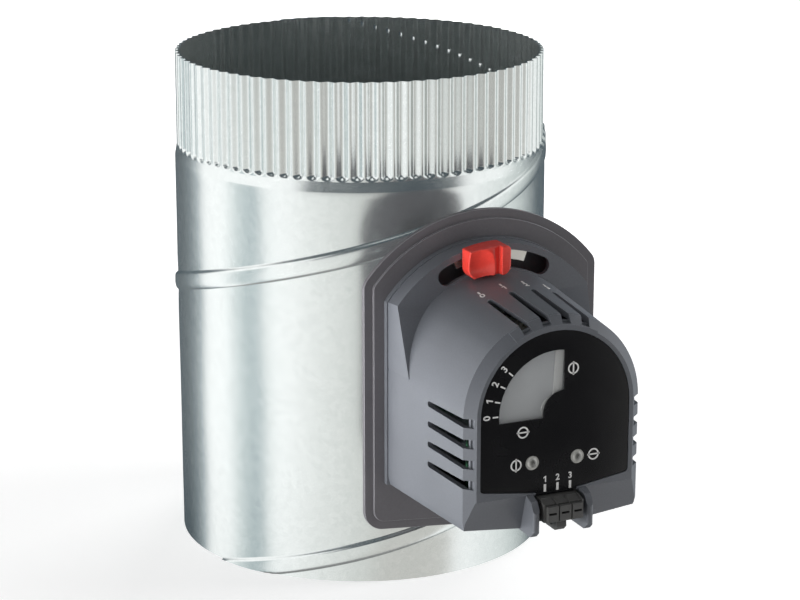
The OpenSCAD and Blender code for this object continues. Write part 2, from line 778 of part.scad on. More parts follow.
module housing_cover() {
    guard_back = face_out - notch_back;
    color(case_grey) on_shaft_axis() difference() {
        union() {
            difference() {
                union() {
                    barrel(0, plate_front, face_out);
                    collar(0, plate_front, 0);
                    foot_flange();
                    rim_pad();
                }
                difference() {
                    barrel(wall_t, plate_front - over, cavity_front);
                    side_prism([[cavity_front + over, -chin_top + wall_t],
                                [cavity_front, -chin_top + wall_t],
                                [cavity_front - chin_lean, -chin_top - wall_t],
                                [cavity_front - chin_lean - over, -keel_drop - over],
                                [cavity_front + over, -keel_drop - over]], 0, foot_width + over);
                }
                collar(collar_wall, plate_front - over, collar_skin);
                side_prism([[face_out - panel_seat / 4, -chin_top], [face_out + over, -chin_top],
                            [face_out + over, -keel_drop - over],
                            [face_out - chin_lean, -keel_drop - over]], 0, foot_width + over);
            }
            for (b = cover_bosses()) translate([b[0], b[1], plate_front])
                cylinder(r = boss_r, h = b[1] > 0 ? collar_l - collar_skin / 2 : lower_boss_l, $fn = 32);
            for (side = [-1, 1])
                translate([side * board_screw_x, -board_screw_y, board_front])
                    cylinder(r = board_post_r, h = cavity_front + over / 2 - board_front, $fn = 32);
            for (side = [-1, 1]) guard(terminal_x + side * (guard_half + guard_t / 2), guard_back);
        }
        for (b = cover_bosses()) translate([b[0], b[1], plate_front - over])
            cylinder(r = cover_screw_r, h = cover_screw_l - plate_t + over, $fn = 24);
        for (side = [-1, 1])
            translate([side * board_screw_x, -board_screw_y, board_front - over])
                cylinder(r = cover_screw_r, h = cover_screw_l / 2 + over, $fn = 24);
        arc_slot();
        for (side = [0, 180]) for (i = [0:vent_count - 1]) mirror([side / 180, 0, 0])
            translate([0, -vent_first - i * vent_step, 0]) vent();
        for (i = [0:vent_count - 1]) rotate([0, 0, 90 - (i - (vent_count - 1) / 2) * mark_step]) vent();
        translate([0, 0, face_out - panel_seat]) linear_extrude(height = panel_seat + over)
            polygon(panel_outline(slack));
        translate([0, 0, cavity_front - over]) aperture(0, face_wall + over);
        for (side = [-1, 1]) translate([side * lamp_x, -lamp_y, cavity_front - over])
            cylinder(r = lamp_r + slack, h = face_wall + 2 * over, $fn = 32);
        translate([terminal_x - guard_half, -keel_drop - 2 * over, guard_back])
            cube([2 * guard_half, keel_drop + 2 * over - panel_tab_low - slack, notch_back + 2 * over]);
    }
}

// The fin on each side of the terminals, with a rounded front
module guard(x, back) {
    front = face_out + guard_out;
    side = guard_t / 2 - guard_round;
    intersection() {
        side_prism(guard_outline(back), x, guard_t);
        flat_prism(concat([[x - guard_t / 2, back], [x + guard_t / 2, back]],
                          arc([x + side, front - guard_round], guard_round, 0, 90, arc_steps),
                          arc([x - side, front - guard_round], guard_round, 90, 180, arc_steps)),
                   -guard_low - over, over);
    }
}

function guard_outline(back) =
    let (front = face_out + guard_out, top = chin_top + slack, low = guard_low)
    [[back, -top - guard_t], [face_out - chin_lean, -top], [face_out, -top],
     [front - guard_t, -top - guard_t / 2], [front, -top - 2 * guard_t],
     [front, -low + guard_t], [front - guard_t, -low], [back, -low]];

// The opening behind the window, through which the pointer turns
module aperture(edge, h) {
    linear_extrude(height = h) union() {
        intersection() {
            circle(r = aperture_r + edge);
            translate([aperture_side + edge - 2 * aperture_r, -aperture_side - edge])
                square([2 * aperture_r, 2 * aperture_r]);
        }
        circle(r = aperture_hub + edge);
    }
}

module cover_screws() {
    color(zinc) on_shaft_axis() for (b = cover_bosses()) translate([b[0], b[1], plate_back])
        mirror([0, 0, 1]) pan_screw(cover_screw_r, cover_screw_l, 2 * cover_screw_r, screw_head_t);
}

// Face plate, window, dial and lamps

module face_plate() {
    color(panel_black) on_shaft_axis() translate([0, 0, face_out - panel_seat]) difference() {
        linear_extrude(height = panel_t) polygon(panel_outline(0));
        translate([0, 0, -over]) linear_extrude(height = panel_t + 2 * over) polygon(window_outline(0));
        for (side = [-1, 1]) translate([side * lamp_x, -lamp_y, -over])
            cylinder(r = lamp_r + slack, h = panel_t + 2 * over, $fn = 48);
    }
}

module window_lens() {
    color("#b9bcbd") on_shaft_axis() translate([0, 0, face_out - panel_seat - lens_t])
        linear_extrude(height = lens_t) polygon(window_outline(lens_edge));
}

module dial_plate() {
    color("#97999a") on_shaft_axis() translate([0, 0, cavity_front - dial_t]) difference() {
        aperture(dial_edge, dial_t);
        translate([0, 0, -over]) cylinder(r = stem_r + run_gap, h = dial_t + 2 * over);
    }
}

module lamp(side) {
    top = face_out - panel_seat + panel_t + lamp_proud;
    on_shaft_axis() translate([side * lamp_x, -lamp_y, board_front]) {
        cylinder(r = lamp_r, h = top - lamp_proud - board_front, $fn = 48);
        intersection() {
            translate([0, 0, top - board_front - lamp_r]) sphere(r = lamp_r, $fn = 48);
            translate([0, 0, top - lamp_proud - board_front - over])
                cylinder(r = lamp_r, h = lamp_r, $fn = 48);
        }
        cylinder(r = lamp_r + lamp_flange, h = lamp_flange_t, $fn = 48);
    }
}

module open_lamp() {
    color("#c8cbc8") lamp(-1);
}

module closed_lamp() {
    color("#c8cbc8") lamp(1);
}

// Circuit board and terminals

module circuit_board() {
    color(board_green) on_shaft_axis() difference() {
        translate([-board_half, -board_low, board_out])
            cube([2 * board_half, board_low - board_top, board_t]);
        for (side = [-1, 1])
            translate([side * board_screw_x, -board_screw_y, board_out - over])
                cylinder(r = cover_screw_r + slack, h = board_t + 2 * over, $fn = 24);
    }
}

module board_screws() {
    color(zinc) on_shaft_axis() for (side = [-1, 1])
        translate([side * board_screw_x, -board_screw_y, board_out]) mirror([0, 0, 1])
            pan_screw(cover_screw_r, board_t + cover_screw_l / 2, small_head_r, small_head_t);
}

module terminal_header() {
    color(panel_black) on_shaft_axis() difference() {
        translate([terminal_x - header_half, -header_low, board_front])
            cube([2 * header_half, header_low - panel_tab_low - slack, header_l]);
        translate([terminal_x - header_half + header_side, header_floor_t - header_low,
                   board_front + header_back_t])
            cube([2 * (header_half - header_side), header_low, header_l]);
    }
}

// The plug's side view: a body, a lowered seat for the release levers and a raised front lip
function plug_outline() =
    let (seat = plug_top + lever_seat, lip = plug_front - cell_depth, top = seat - lever_seat / 3)
    [[plug_back, -plug_top], [plug_step_out, -plug_top], [plug_step_out, -seat], [lip, -seat],
     [lip, -top], [plug_front, -top], [plug_front, over / 2 - plug_low], [plug_front - over, -plug_low],
     [plug_back, -plug_low]];

// The sprung latch below the plug, whose hook runs back under the header
function tongue_outline() =
    let (front = plug_front - lever_seat, low = keel_drop - over / 2, top = header_low + over)
    [[front - over, -plug_low + over / 2], [front - over / 2, -top + over / 2],
     [front - lever_seat, -low],
     [front - 4 * lever_seat, -low], [front - 4 * lever_seat, -top],
     [front - 2 * lever_seat, -top], [front - 2 * lever_seat, -plug_low + over / 2]];

// Sideways place of terminal i, counted from 0
function pole_x(i) = terminal_x + (i - 1) * pole_pitch;

module terminal_plug() {
    lip = plug_front - cell_depth;
    color(plug_grey) on_shaft_axis() difference() {
        union() {
            side_prism(plug_outline(), terminal_x, 2 * plug_half);
            side_prism(tongue_outline(), terminal_x, 2 * tongue_half);
            for (i = [0:3])
                side_prism([[plug_step_out - over / 4, -plug_top - lever_seat],
                            [plug_step_out - over / 4, -plug_top], [release_pivot_out, -plug_top],
                            [lip + over / 4, -plug_top - lever_seat / 2],
                            [lip + over / 4, -plug_top - lever_seat]], pole_x(i - 0.5), rib_t);
        }
        for (i = [0:2]) translate([pole_x(i) - wire_w / 2, -wire_y - wire_h / 2, plug_front - wire_l])
            cube([wire_w, wire_h, wire_l + over]);
        for (i = [1:2]) translate([pole_x(i - 0.5) - cell_groove / 2, -plug_low - over, lip])
            cube([cell_groove, plug_low, cell_depth + over]);
        for (side = [-1, 1]) translate([terminal_x + side * plug_half - cell_rebate, -plug_low - over, lip])
            cube([2 * cell_rebate, plug_low, cell_depth + over]);
        translate([terminal_x - plug_half - over, -release_pivot_y, release_pivot_out]) rotate([0, 90, 0])
            cylinder(r = release_pin_r, h = 2 * (plug_half + over), $fn = 24);
    }
}

module release_pin() {
    color(zinc) on_shaft_axis() translate([terminal_x - plug_half, -release_pivot_y, release_pivot_out])
        rotate([0, 90, 0]) cylinder(r = release_pin_r, h = 2 * plug_half, $fn = 24);
}

// A wedge that a finger or a screwdriver presses down to open the wire clamp
module release_lever(i) {
    tip = plug_front - cell_depth - run_gap;
    back = plug_step_out + run_gap;
    seat = plug_top + lever_seat;
    color(plug_grey) on_shaft_axis() difference() {
        side_prism([[back, -plug_top], [tip, -plug_top - lever_seat / 2], [tip, -seat + 2 * run_gap],
                    [back + over, -seat + 2 * run_gap], [back, -release_pivot_y]],
                   pole_x(i), 2 * release_half);
        translate([pole_x(i) - release_half - over, -release_pivot_y, release_pivot_out])
            rotate([0, 90, 0])
                cylinder(r = release_pin_r + release_fit, h = 2 * (release_half + over), $fn = 24);
    }
}

module release_lever_1() {
    release_lever(0);
}

module release_lever_2() {
    release_lever(1);
}

module release_lever_3() {
    release_lever(2);
}

// Shaft and blade

module shaft() {
    color(zinc) on_shaft_axis() difference() {
        translate([0, 0, -shaft_back]) cylinder(r = shaft_r, h = shaft_back + shaft_front);
        for (side = [-1, 1]) translate([-shaft_d, 0, side * blade_r * bolt_place_share])
            rotate([0, 90, 0]) cylinder(r = bolt_r, h = 2 * shaft_d, $fn = 32);
    }
}

module shaft_clips() {
    color(zinc) on_shaft_axis() {
        translate([0, 0, clip_out]) ring(shaft_r + clip_w, shaft_r, clip_t);
        translate([0, 0, -clip_out - clip_t]) ring(shaft_r + clip_w, shaft_r, clip_t);
    }
}

// One of two steel discs with a half-round channel pressed in it for the shaft, to the right
module blade_plate() {
    inner = gasket_t / 2;
    difference() {
        union() {
            translate([inner, 0, 0]) rotate([0, 90, 0]) cylinder(r = blade_r, h = blade_t, $fn = 120);
            intersection() {
                translate([0, 0, -blade_r]) cylinder(r = channel_r + blade_t, h = 2 * blade_r);
                translate([inner, -duct_r, -duct_r]) cube([duct_r, duct_d, duct_d]);
                rotate([0, 90, 0]) cylinder(r = blade_r, h = duct_r, $fn = 120);
            }
        }
        translate([0, 0, -duct_r]) cylinder(r = channel_r, h = duct_d);
        blade_holes();
    }
}

module blade_holes() {
    for (side = [-1, 1]) translate([-shaft_d, 0, side * blade_r * bolt_place_share])
        rotate([0, 90, 0]) cylinder(r = bolt_r, h = 2 * shaft_d, $fn = 32);
    for (a = rivet_angles) rotate([a, 0, 0]) translate([-shaft_d, blade_r * rivet_ring_share, 0])
        rotate([0, 90, 0]) cylinder(r = rivet_r, h = 2 * shaft_d, $fn = 24);
}

module blade_plate_left() {
    color(galvanized) on_shaft_axis() mirror([1, 0, 0]) blade_plate();
}

module blade_plate_right() {
    color(galvanized) on_shaft_axis() blade_plate();
}

module blade_gasket() {
    color(foam_black) on_shaft_axis() difference() {
        translate([-gasket_t / 2, 0, 0]) rotate([0, 90, 0]) cylinder(r = gasket_r, h = gasket_t, $fn = 120);
        translate([-gasket_t, -channel_r, -duct_r]) cube([2 * gasket_t, 2 * channel_r, duct_d]);
        for (side = [0, 1]) mirror([0, 0, side]) translate([0, 0, duct_r - bushing_depth - hub_clear])
            cylinder(r = bushing_r + hub_clear, h = duct_r, $fn = 48);
        blade_holes();
    }
}

module blade_fasteners() {
    bolt_half = channel_r + blade_t;
    rivet_half = gasket_t / 2 + blade_t;
    color(zinc) on_shaft_axis() {
        for (side = [-1, 1]) translate([0, 0, side * blade_r * bolt_place_share]) rotate([0, 90, 0]) {
            translate([0, 0, -bolt_half]) cylinder(r = bolt_r, h = 2 * bolt_half, $fn = 32);
            for (end = [0, 1]) mirror([0, 0, end]) translate([0, 0, bolt_half])
                cylinder(r = bolt_head_r, h = bolt_head_t, $fn = 32);
        }
        for (a = rivet_angles) rotate([a, 0, 0]) translate([0, blade_r * rivet_ring_share, 0])
            rotate([0, 90, 0]) {
                translate([0, 0, -rivet_half]) cylinder(r = rivet_r, h = 2 * rivet_half, $fn = 24);
                for (end = [0, 1]) mirror([0, 0, end]) translate([0, 0, rivet_half])
                    cylinder(r = rivet_head_r, h = rivet_head_t, $fn = 32);
            }
    }
}

// Gears have involute flanks

// Polar angle, in degrees, that an involute from base circle rb has gained at radius r
function involute(rb, r) = let (a = acos(min(1, rb / r))) tan(a) * 180 / PI - a;

function gear_outline(teeth, size) =
    let (pitch_r = size * teeth / 2, base_r = pitch_r * cos(pressure),
         root_r = pitch_r - dedendum * size, tip_r = pitch_r + addendum * size,
         low_r = max(base_r, root_r),
         half = 90 / teeth - backlash / 2 / pitch_r * 180 / PI + involute(base_r, pitch_r),
         radii = concat([root_r], [for (i = [0:flank_steps]) low_r + (tip_r - low_r) * i / flank_steps]),
         last = len(radii) - 1)
    [for (t = [0:teeth - 1]) for (side = [-1, 1]) for (i = [0:last])
        let (r = radii[side < 0 ? i : last - i],
             a = 360 * t / teeth + side * (half - involute(base_r, max(r, base_r))))
        [r * cos(a), r * sin(a)]];

module gear(teeth, size, h, turn) {
    rotate([0, 0, turn]) linear_extrude(height = h) polygon(gear_outline(teeth, size));
}

// The output gear's hub is clamped to the shaft by a set screw
module output_gear() {
    color(nylon) on_shaft_axis() difference() {
        union() {
            translate([0, 0, output_out]) gear(output_teeth, output_module, output_t, idler_turn);
            translate([0, 0, hub_start]) cylinder(r = hub_r, h = hub_end - hub_start);
        }
        translate([0, 0, hub_start - over]) cylinder(r = shaft_r, h = hub_end - hub_start + 2 * over);
        hub_screw_shape(0, hub_r + over);
    }
}

// A set screw across the hub, drawn from start to end outward from the shaft's axis
module hub_screw_shape(start, end) {
    translate([0, 0, (output_out + output_t + hub_end) / 2]) rotate([0, 90, 0])
        translate([0, 0, start]) cylinder(r = post_screw_r, h = end - start, $fn = 24);
}

module hub_screw() {
    color(zinc) on_shaft_axis() hub_screw_shape(shaft_r, hub_r - slack);
}

// The idler turns on a fixed pin: its small gear drives the output gear
module idler_gear() {
    small_out = output_out - gear_gap / 2;
    small_turn = idler_turn + 180 + 180 / pinion_teeth;
    color(nylon) on_shaft_axis() translate([idler_x, idler_y, 0]) difference() {
        union() {
            translate([0, 0, small_out])
                gear(pinion_teeth, output_module, wheel_out - small_out, small_turn);
            translate([0, 0, wheel_out]) gear(wheel_teeth, motor_module, wheel_t, motor_turn);
            translate([0, 0, wheel_out])
                cylinder(r = idler_seat_r, h = gear_plate_out - run_gap - wheel_out, $fn = 32);
        }
        translate([0, 0, small_out - over])
            cylinder(r = idler_pin_r + idler_fit, h = gear_plate_out - small_out + 2 * over, $fn = 32);
    }
}

module idler_pin() {
    color(zinc) on_shaft_axis() translate([idler_x, idler_y, plate_front])
        cylinder(r = idler_pin_r, h = gear_plate_front - plate_front, $fn = 32);
}

module motor_pinion() {
    start = wheel_out - gear_gap / 2;
    turn = motor_turn + 180 + 180 / pinion_teeth;
    color(zinc) on_shaft_axis() translate([motor_x, motor_y, 0]) {
        translate([0, 0, start]) gear(pinion_teeth, motor_module, hub_end - gear_gap - start, turn);
        translate([0, 0, hub_end - gear_gap])
            cylinder(r = motor_shaft_r, h = gear_plate_front + motor_l / 3 - hub_end + gear_gap, $fn = 32);
    }
}

// The gear plate's corners, as shares of half the housing's foot and of its depth below the shaft
gear_plate_shares = [
    [-0.84, -0.3], [-0.84, 0.1], [-0.25, 0.3], [0.25, 0.3], [0.75, -0.15], [0.75, -0.55],
    [0.52, -0.89], [-0.3, -0.89], [-0.7, -0.62]
];

module gear_plate() {
    color(zinc) on_shaft_axis() translate([0, 0, gear_plate_out]) difference() {
        linear_extrude(height = gear_plate_t)
            polygon([for (p = gear_plate_shares) [p[0] * foot_half, p[1] * keel_drop]]);
        translate([0, 0, -over]) cylinder(r = gear_hub_hole, h = gear_plate_t + 2 * over);
        translate([idler_x, idler_y, -over])
            cylinder(r = idler_pin_r, h = gear_plate_t + 2 * over, $fn = 32);
        translate([motor_x, motor_y, -over])
            cylinder(r = 2 * motor_shaft_r, h = gear_plate_t + 2 * over, $fn = 32);
        for (p = post_shares) translate([p[0] * foot_half, p[1] * keel_drop, -over])
            cylinder(r = post_screw_r, h = gear_plate_t + 2 * over, $fn = 24);
        for (side = [-1, 1]) translate([motor_x + side * motor_ear_x, motor_y, -over])
            cylinder(r = post_screw_r, h = gear_plate_t + 2 * over, $fn = 24);
    }
}

module gear_plate_screws() {
    color(zinc) on_shaft_axis() for (p = post_shares)
        translate([p[0] * foot_half, p[1] * keel_drop, gear_plate_front])
            pan_screw(post_screw_r, gear_plate_t + post_screw_l - over, small_head_r, small_head_t);
}

// A small synchronous gear motor with two mounting ears
module drive_motor() {
    color(zinc) on_shaft_axis() translate([motor_x, motor_y, gear_plate_front]) difference() {
        union() {
            cylinder(r = motor_d / 2, h = motor_l);
            for (side = [-1, 1]) translate([side * motor_ear_x, 0, 0])
                cylinder(r = motor_ear_r, h = motor_ear_t, $fn = 48);
            translate([-motor_ear_x, -motor_ear_r, 0]) cube([2 * motor_ear_x, 2 * motor_ear_r, motor_ear_t]);
        }
        translate([0, 0, -over])
            cylinder(r = motor_shaft_r + shaft_fit, h = motor_l / 3 + 2 * over, $fn = 32);
        for (side = [-1, 1]) translate([side * motor_ear_x, 0, -over])
            cylinder(r = post_screw_r, h = motor_ear_t + 2 * over, $fn = 24);
    }
}

module motor_screws() {
    color(zinc) on_shaft_axis() for (side = [-1, 1])
        translate([motor_x + side * motor_ear_x, motor_y, gear_plate_front + motor_ear_t])
            pan_screw(post_screw_r, motor_ear_t + gear_plate_t, small_head_r, small_head_t);
}

// The pointer's stem plugs on the hub and reaches forward to the window
module position_pointer() {
    tip_out = face_out - panel_seat - lens_t - pointer_gap;
    color("white") on_shaft_axis() {
        translate([0, 0, hub_end]) cylinder(r = stem_base_r, h = stem_base_t);
        translate([0, 0, hub_end]) cylinder(r = stem_r, h = tip_out - hub_end);
        translate([0, 0, tip_out - pointer_t]) cylinder(r = pointer_hub_r, h = pointer_t);
        rotate([0, 0, pointer_angle]) translate([0, -pointer_half - pointer_shift, tip_out - pointer_t])
            cube([pointer_r, 2 * pointer_half, pointer_t]);
    }
}

// Range stop: a steel lever that turns on the base plate's boss and a knob on its slotted arm

module lever_washer() {
    color(zinc) on_shaft_axis() translate([0, 0, washer_out]) ring(washer_r, lever_boss_r, washer_t);
}

module stop_lever() {
    color("#d8dadb") on_shaft_axis() translate([0, 0, lever_out]) difference() {
        union() {
            cylinder(r = lever_ring_r, h = lever_t);
            translate([-lever_arm_half, 0, 0]) cube([2 * lever_arm_half, strip_in + over, lever_t]);
            rotate([0, 0, 90 - strip_half]) rotate_extrude(angle = 2 * strip_half, $fn = 120)
                translate([strip_in, 0]) square([strip_out - strip_in, lever_t]);
        }
        translate([0, 0, -over]) cylinder(r = lever_boss_r + lever_fit, h = lever_t + 2 * over);
    }
}

// The knob's outline from the front: a rounded thumb end at the left and a rounded fin at the right
function knob_outline() = concat(
    arc([knob_right - knob_fin_round, knob_in + 0.9 * knob_fin_round], knob_fin_round, 270, 360, arc_steps),
    arc([knob_right - knob_tip_round, knob_out - knob_tip_round], knob_tip_round, 0, 90, arc_steps),
    [[-knob_left, knob_out]],
    arc([knob_round - knob_left, knob_in + knob_round / 2], knob_round, 180, 270, arc_steps),
    [[knob_round - knob_left, knob_in / 2], [knob_right - knob_fin_round, knob_in / 2]]);

// A round dish for the thumb, and behind its edge a groove along the foot of the fin
module stop_knob() {
    base = collar_front + run_gap;
    top = base + knob_h;
    ledge = top - knob_fin_h;
    fin_x = knob_right - knob_fin;
    color(knob_red) on_shaft_axis() difference() {
        union() {
            intersection() {
                translate([0, 0, lever_out + lever_t]) ring(strip_out - run_gap, stem_in, base - lever_out);
                translate([-stem_half, stem_in / 2, lever_out])
                    cube([stem_half + knob_right + over, stem_in, base]);
                linear_extrude(height = top) polygon(knob_outline());
            }
            intersection() {
                translate([0, 0, base]) ring(knob_out, knob_in, knob_h);
                linear_extrude(height = top + over) polygon(knob_outline());
            }
        }
        flat_prism([[-knob_left - over, top + over], [-knob_left - over, ledge], [fin_x - groove_w, ledge],
                    [fin_x, ledge - groove_depth], [fin_x, top + over]], knob_in / 2, knob_out + over);
        translate([-dish_x, knob_in + dish_out, ledge + dish_r - dish_depth]) sphere(r = dish_r, $fn = 96);
    }
}

duct_sleeve();
spiral_seam();
crimped_end();
near_bushing();
far_bushing();
standoff_bracket();
bracket_rivets();
base_plate();
plate_screws();
housing_cover();
cover_screws();
face_plate();
window_lens();
dial_plate();
open_lamp();
closed_lamp();
circuit_board();
board_screws();
gear_plate();
gear_plate_screws();
idler_pin();
drive_motor();
motor_screws();
lever_washer();
terminal_header();
shaft();
shaft_clips();
blade_plate_left();
blade_plate_right();
blade_gasket();
blade_fasteners();
output_gear();
hub_screw();
position_pointer();
motor_pinion();
idler_gear();
stop_lever();
stop_knob();
terminal_plug();
release_pin();
release_lever_1();
release_lever_2();
release_lever_3();
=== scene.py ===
# A motorized round duct damper: a crimped, spiral-seamed sleeve of galvanized sheet, and a moulded
# actuator that stands off it on a folded steel bracket. Metres, with Z up the duct and the actuator
# facing -Y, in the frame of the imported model.

import math

import bmesh
import bpy
from mathutils import Matrix, Vector


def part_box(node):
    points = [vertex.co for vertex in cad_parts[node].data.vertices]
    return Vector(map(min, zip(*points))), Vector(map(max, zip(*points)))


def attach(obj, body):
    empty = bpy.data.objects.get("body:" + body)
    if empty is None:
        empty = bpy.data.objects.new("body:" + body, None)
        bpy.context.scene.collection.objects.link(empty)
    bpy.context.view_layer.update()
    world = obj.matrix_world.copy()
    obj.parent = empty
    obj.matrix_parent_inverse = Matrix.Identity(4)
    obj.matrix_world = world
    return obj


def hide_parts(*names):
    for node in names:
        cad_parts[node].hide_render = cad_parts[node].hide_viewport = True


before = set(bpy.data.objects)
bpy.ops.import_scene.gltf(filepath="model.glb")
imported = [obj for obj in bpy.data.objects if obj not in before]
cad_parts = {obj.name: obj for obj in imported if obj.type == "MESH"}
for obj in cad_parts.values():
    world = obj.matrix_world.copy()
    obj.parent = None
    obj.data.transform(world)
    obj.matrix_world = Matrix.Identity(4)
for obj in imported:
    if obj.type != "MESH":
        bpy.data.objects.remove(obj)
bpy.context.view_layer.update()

# Duct sleeve
# A strip of 26 gauge hot-dip galvanized steel, wound into a tube on a seaming mill. The blade's
# two bushings snap into holes in it, and the part stands on its plain end.

mm = 0.001
duct_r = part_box("duct_sleeve")[1].x
crimp_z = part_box("duct_sleeve")[1].z
shaft_z = (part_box("shaft")[0].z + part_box("shaft")[1].z) / 2
sheet_t = 0.55 * mm
seam_pitch = 122.8 * mm
seam_w = 7.8 * mm
seam_z = 20.9 * mm
seam_half = seam_w / 2 / math.cos(math.atan(seam_pitch / (2 * math.pi * duct_r)))
bushing_hole_r = 6.4 * mm
pinch_h = 0.15 * mm
pinch_w = 3.5 * mm
neck_in = 0.75 * mm
neck_l = 4.2 * mm
neck_shares = (0.9, 0.5, 0.1, 0)
round_bottom, round_top = 6 * mm, 3 * mm
sleeve_columns = 384
sleeve_rows = 56
# Waves round the duct, and the height over which each leans by a radian
ripple_h = 0.07 * mm
wide_waves, wide_lean = 2, 17 * mm
middle_waves, middle_lean = 5, 31 * mm
fine_waves, fine_lean, fine_share = 9, 23 * mm, 0.5


def smooth_step(low, high, value):
    """0 up to low, 1 from high on, and a soft rise between them."""
    t = min(1.0, max(0.0, (value - low) / (high - low)))
    return t * t * (3 - 2 * t)


def seam_offset(angle, z):
    """Height over the middle of the nearest turn of the seam."""
    turn = seam_z + seam_pitch * (angle / (2 * math.pi) + 0.25)
    return (z - turn + seam_pitch / 2) % seam_pitch - seam_pitch / 2


def sleeve_radius(angle, z):
    """The rolled sheet is round but for shallow ripples, a pinch beside the seam and a short neck
    that the crimper draws in."""
    middle = math.sin(middle_waves * angle + z / middle_lean)
    wide = math.sin(wide_waves * angle + z / wide_lean)
    fine = math.sin(fine_waves * angle - z / fine_lean)
    ripple = ripple_h * (middle * wide + fine_share * fine)
    pinch = pinch_h * math.exp(-(((abs(seam_offset(angle, z)) - seam_half) / pinch_w) ** 2))
    ends = smooth_step(0, round_bottom, z) * smooth_step(0, round_top, crimp_z - z)
    neck = neck_in * min(1.0, max(0.0, 1 - (crimp_z - z) / neck_l))
    return duct_r + (ripple - pinch) * ends - neck


def add_object(name, data):
    """Puts a mesh, a curve, a lamp or the camera into the scene."""
    added = bpy.data.objects.new(name, data)
    bpy.context.scene.collection.objects.link(added)
    return added


def make_smooth(mesh):
    mesh.polygons.foreach_set("use_smooth", [True] * len(mesh.polygons))


def loft(name, rings, wrapped=False):
    """A skin through rings of points. The last ring joins the first if wrapped, or both are capped.
    Its faces all look outward."""
    around, count = len(rings[0]), len(rings)
    faces = []
    for i in range(count if wrapped else count - 1):
        a, b = i * around, (i + 1) % count * around
        for j in range(around):
            k = (j + 1) % around
            faces.append((a + j, a + k, b + k, b + j))
    if not wrapped:
        faces.append(tuple(range(around)))
        faces.append(tuple(range((count - 1) * around, count * around)))
    mesh = bpy.data.meshes.new(name)
    mesh.from_pydata([point for ring in rings for point in ring], [], faces)
    shape = bmesh.new()
    shape.from_mesh(mesh)
    bmesh.ops.recalc_face_normals(shape, faces=shape.faces)
    shape.to_mesh(mesh)
    shape.free()
    make_smooth(mesh)
    return add_object(name, mesh)


def sheet_tube(name, columns, heights, radius):
    """A tube of sheet whose outside follows radius(angle, z)."""
    rings = []
    for i in range(columns):
        angle = 2 * math.pi * i / columns
        edge = [(radius(angle, z), z) for z in heights]
        edge += [(radius(angle, z) - sheet_t, z) for z in reversed(heights)]
        rings.append([(r * math.cos(angle), r * math.sin(angle), z) for r, z in edge])
    return loft(name, rings, wrapped=True)


def circle(r, sides=48):
    return [(r * math.cos(2 * math.pi * i / sides), r * math.sin(2 * math.pi * i / sides))
            for i in range(sides)]


def settle(piece):
    """Makes the result of a piece's modifiers its own mesh."""
    graph = bpy.context.evaluated_depsgraph_get()
    mesh = bpy.data.meshes.new_from_object(piece.evaluated_get(graph))
    piece.modifiers.clear()
    piece.data = mesh


def crease(piece, degrees):
    """Edges sharper than that angle stay sharp, and the others look smooth."""
    piece.data.set_sharp_from_angle(angle=math.radians(degrees))


def to_linear(code):
    """An sRGB hex colour in Blender's linear numbers."""
    shares = [int(code[i:i + 2], 16) / 255 for i in (1, 3, 5)]
    return [s / 12.92 if s <= 0.04045 else ((s + 0.055) / 1.055) ** 2.4 for s in shares] + [1]


def lay_tones(ramp, tones):
    """Sets the colours of a ramp, each at its share of the way."""
    while len(ramp.elements) > 1:
        ramp.elements.remove(ramp.elements[-1])
    ramp.elements[0].position = tones[0][0]
    ramp.elements[0].color = to_linear(tones[0][1])
    for position, code in tones[1:]:
        ramp.elements.new(position).color = to_linear(code)


def add_node(tree, kind, settings={}, inputs={}):
    """Adds a node, with its settings and with its inputs as values or links."""
    node = tree.nodes.new(kind)
    for name, value in settings.items():
        setattr(node, name, value)
    for name, value in inputs.items():
        if isinstance(value, bpy.types.NodeSocket):
            tree.links.new(value, node.inputs[name])
        else:
            node.inputs[name].default_value = value
    return node


def new_finish(name):
    """An empty material, its node tree and the object's own coordinates."""
    material = bpy.data.materials.new(name)
    material.use_nodes = True
    tree = material.node_tree
    tree.nodes.clear()
    return material, tree, add_node(tree, "ShaderNodeTexCoord").outputs["Object"]


def end_finish(tree, shader, inputs):
    """Ends a material with its shader, whose inputs are values or links."""
    surface = add_node(tree, shader, {}, inputs)
    add_node(tree, "ShaderNodeOutputMaterial", {}, {"Surface": surface.outputs[0]})


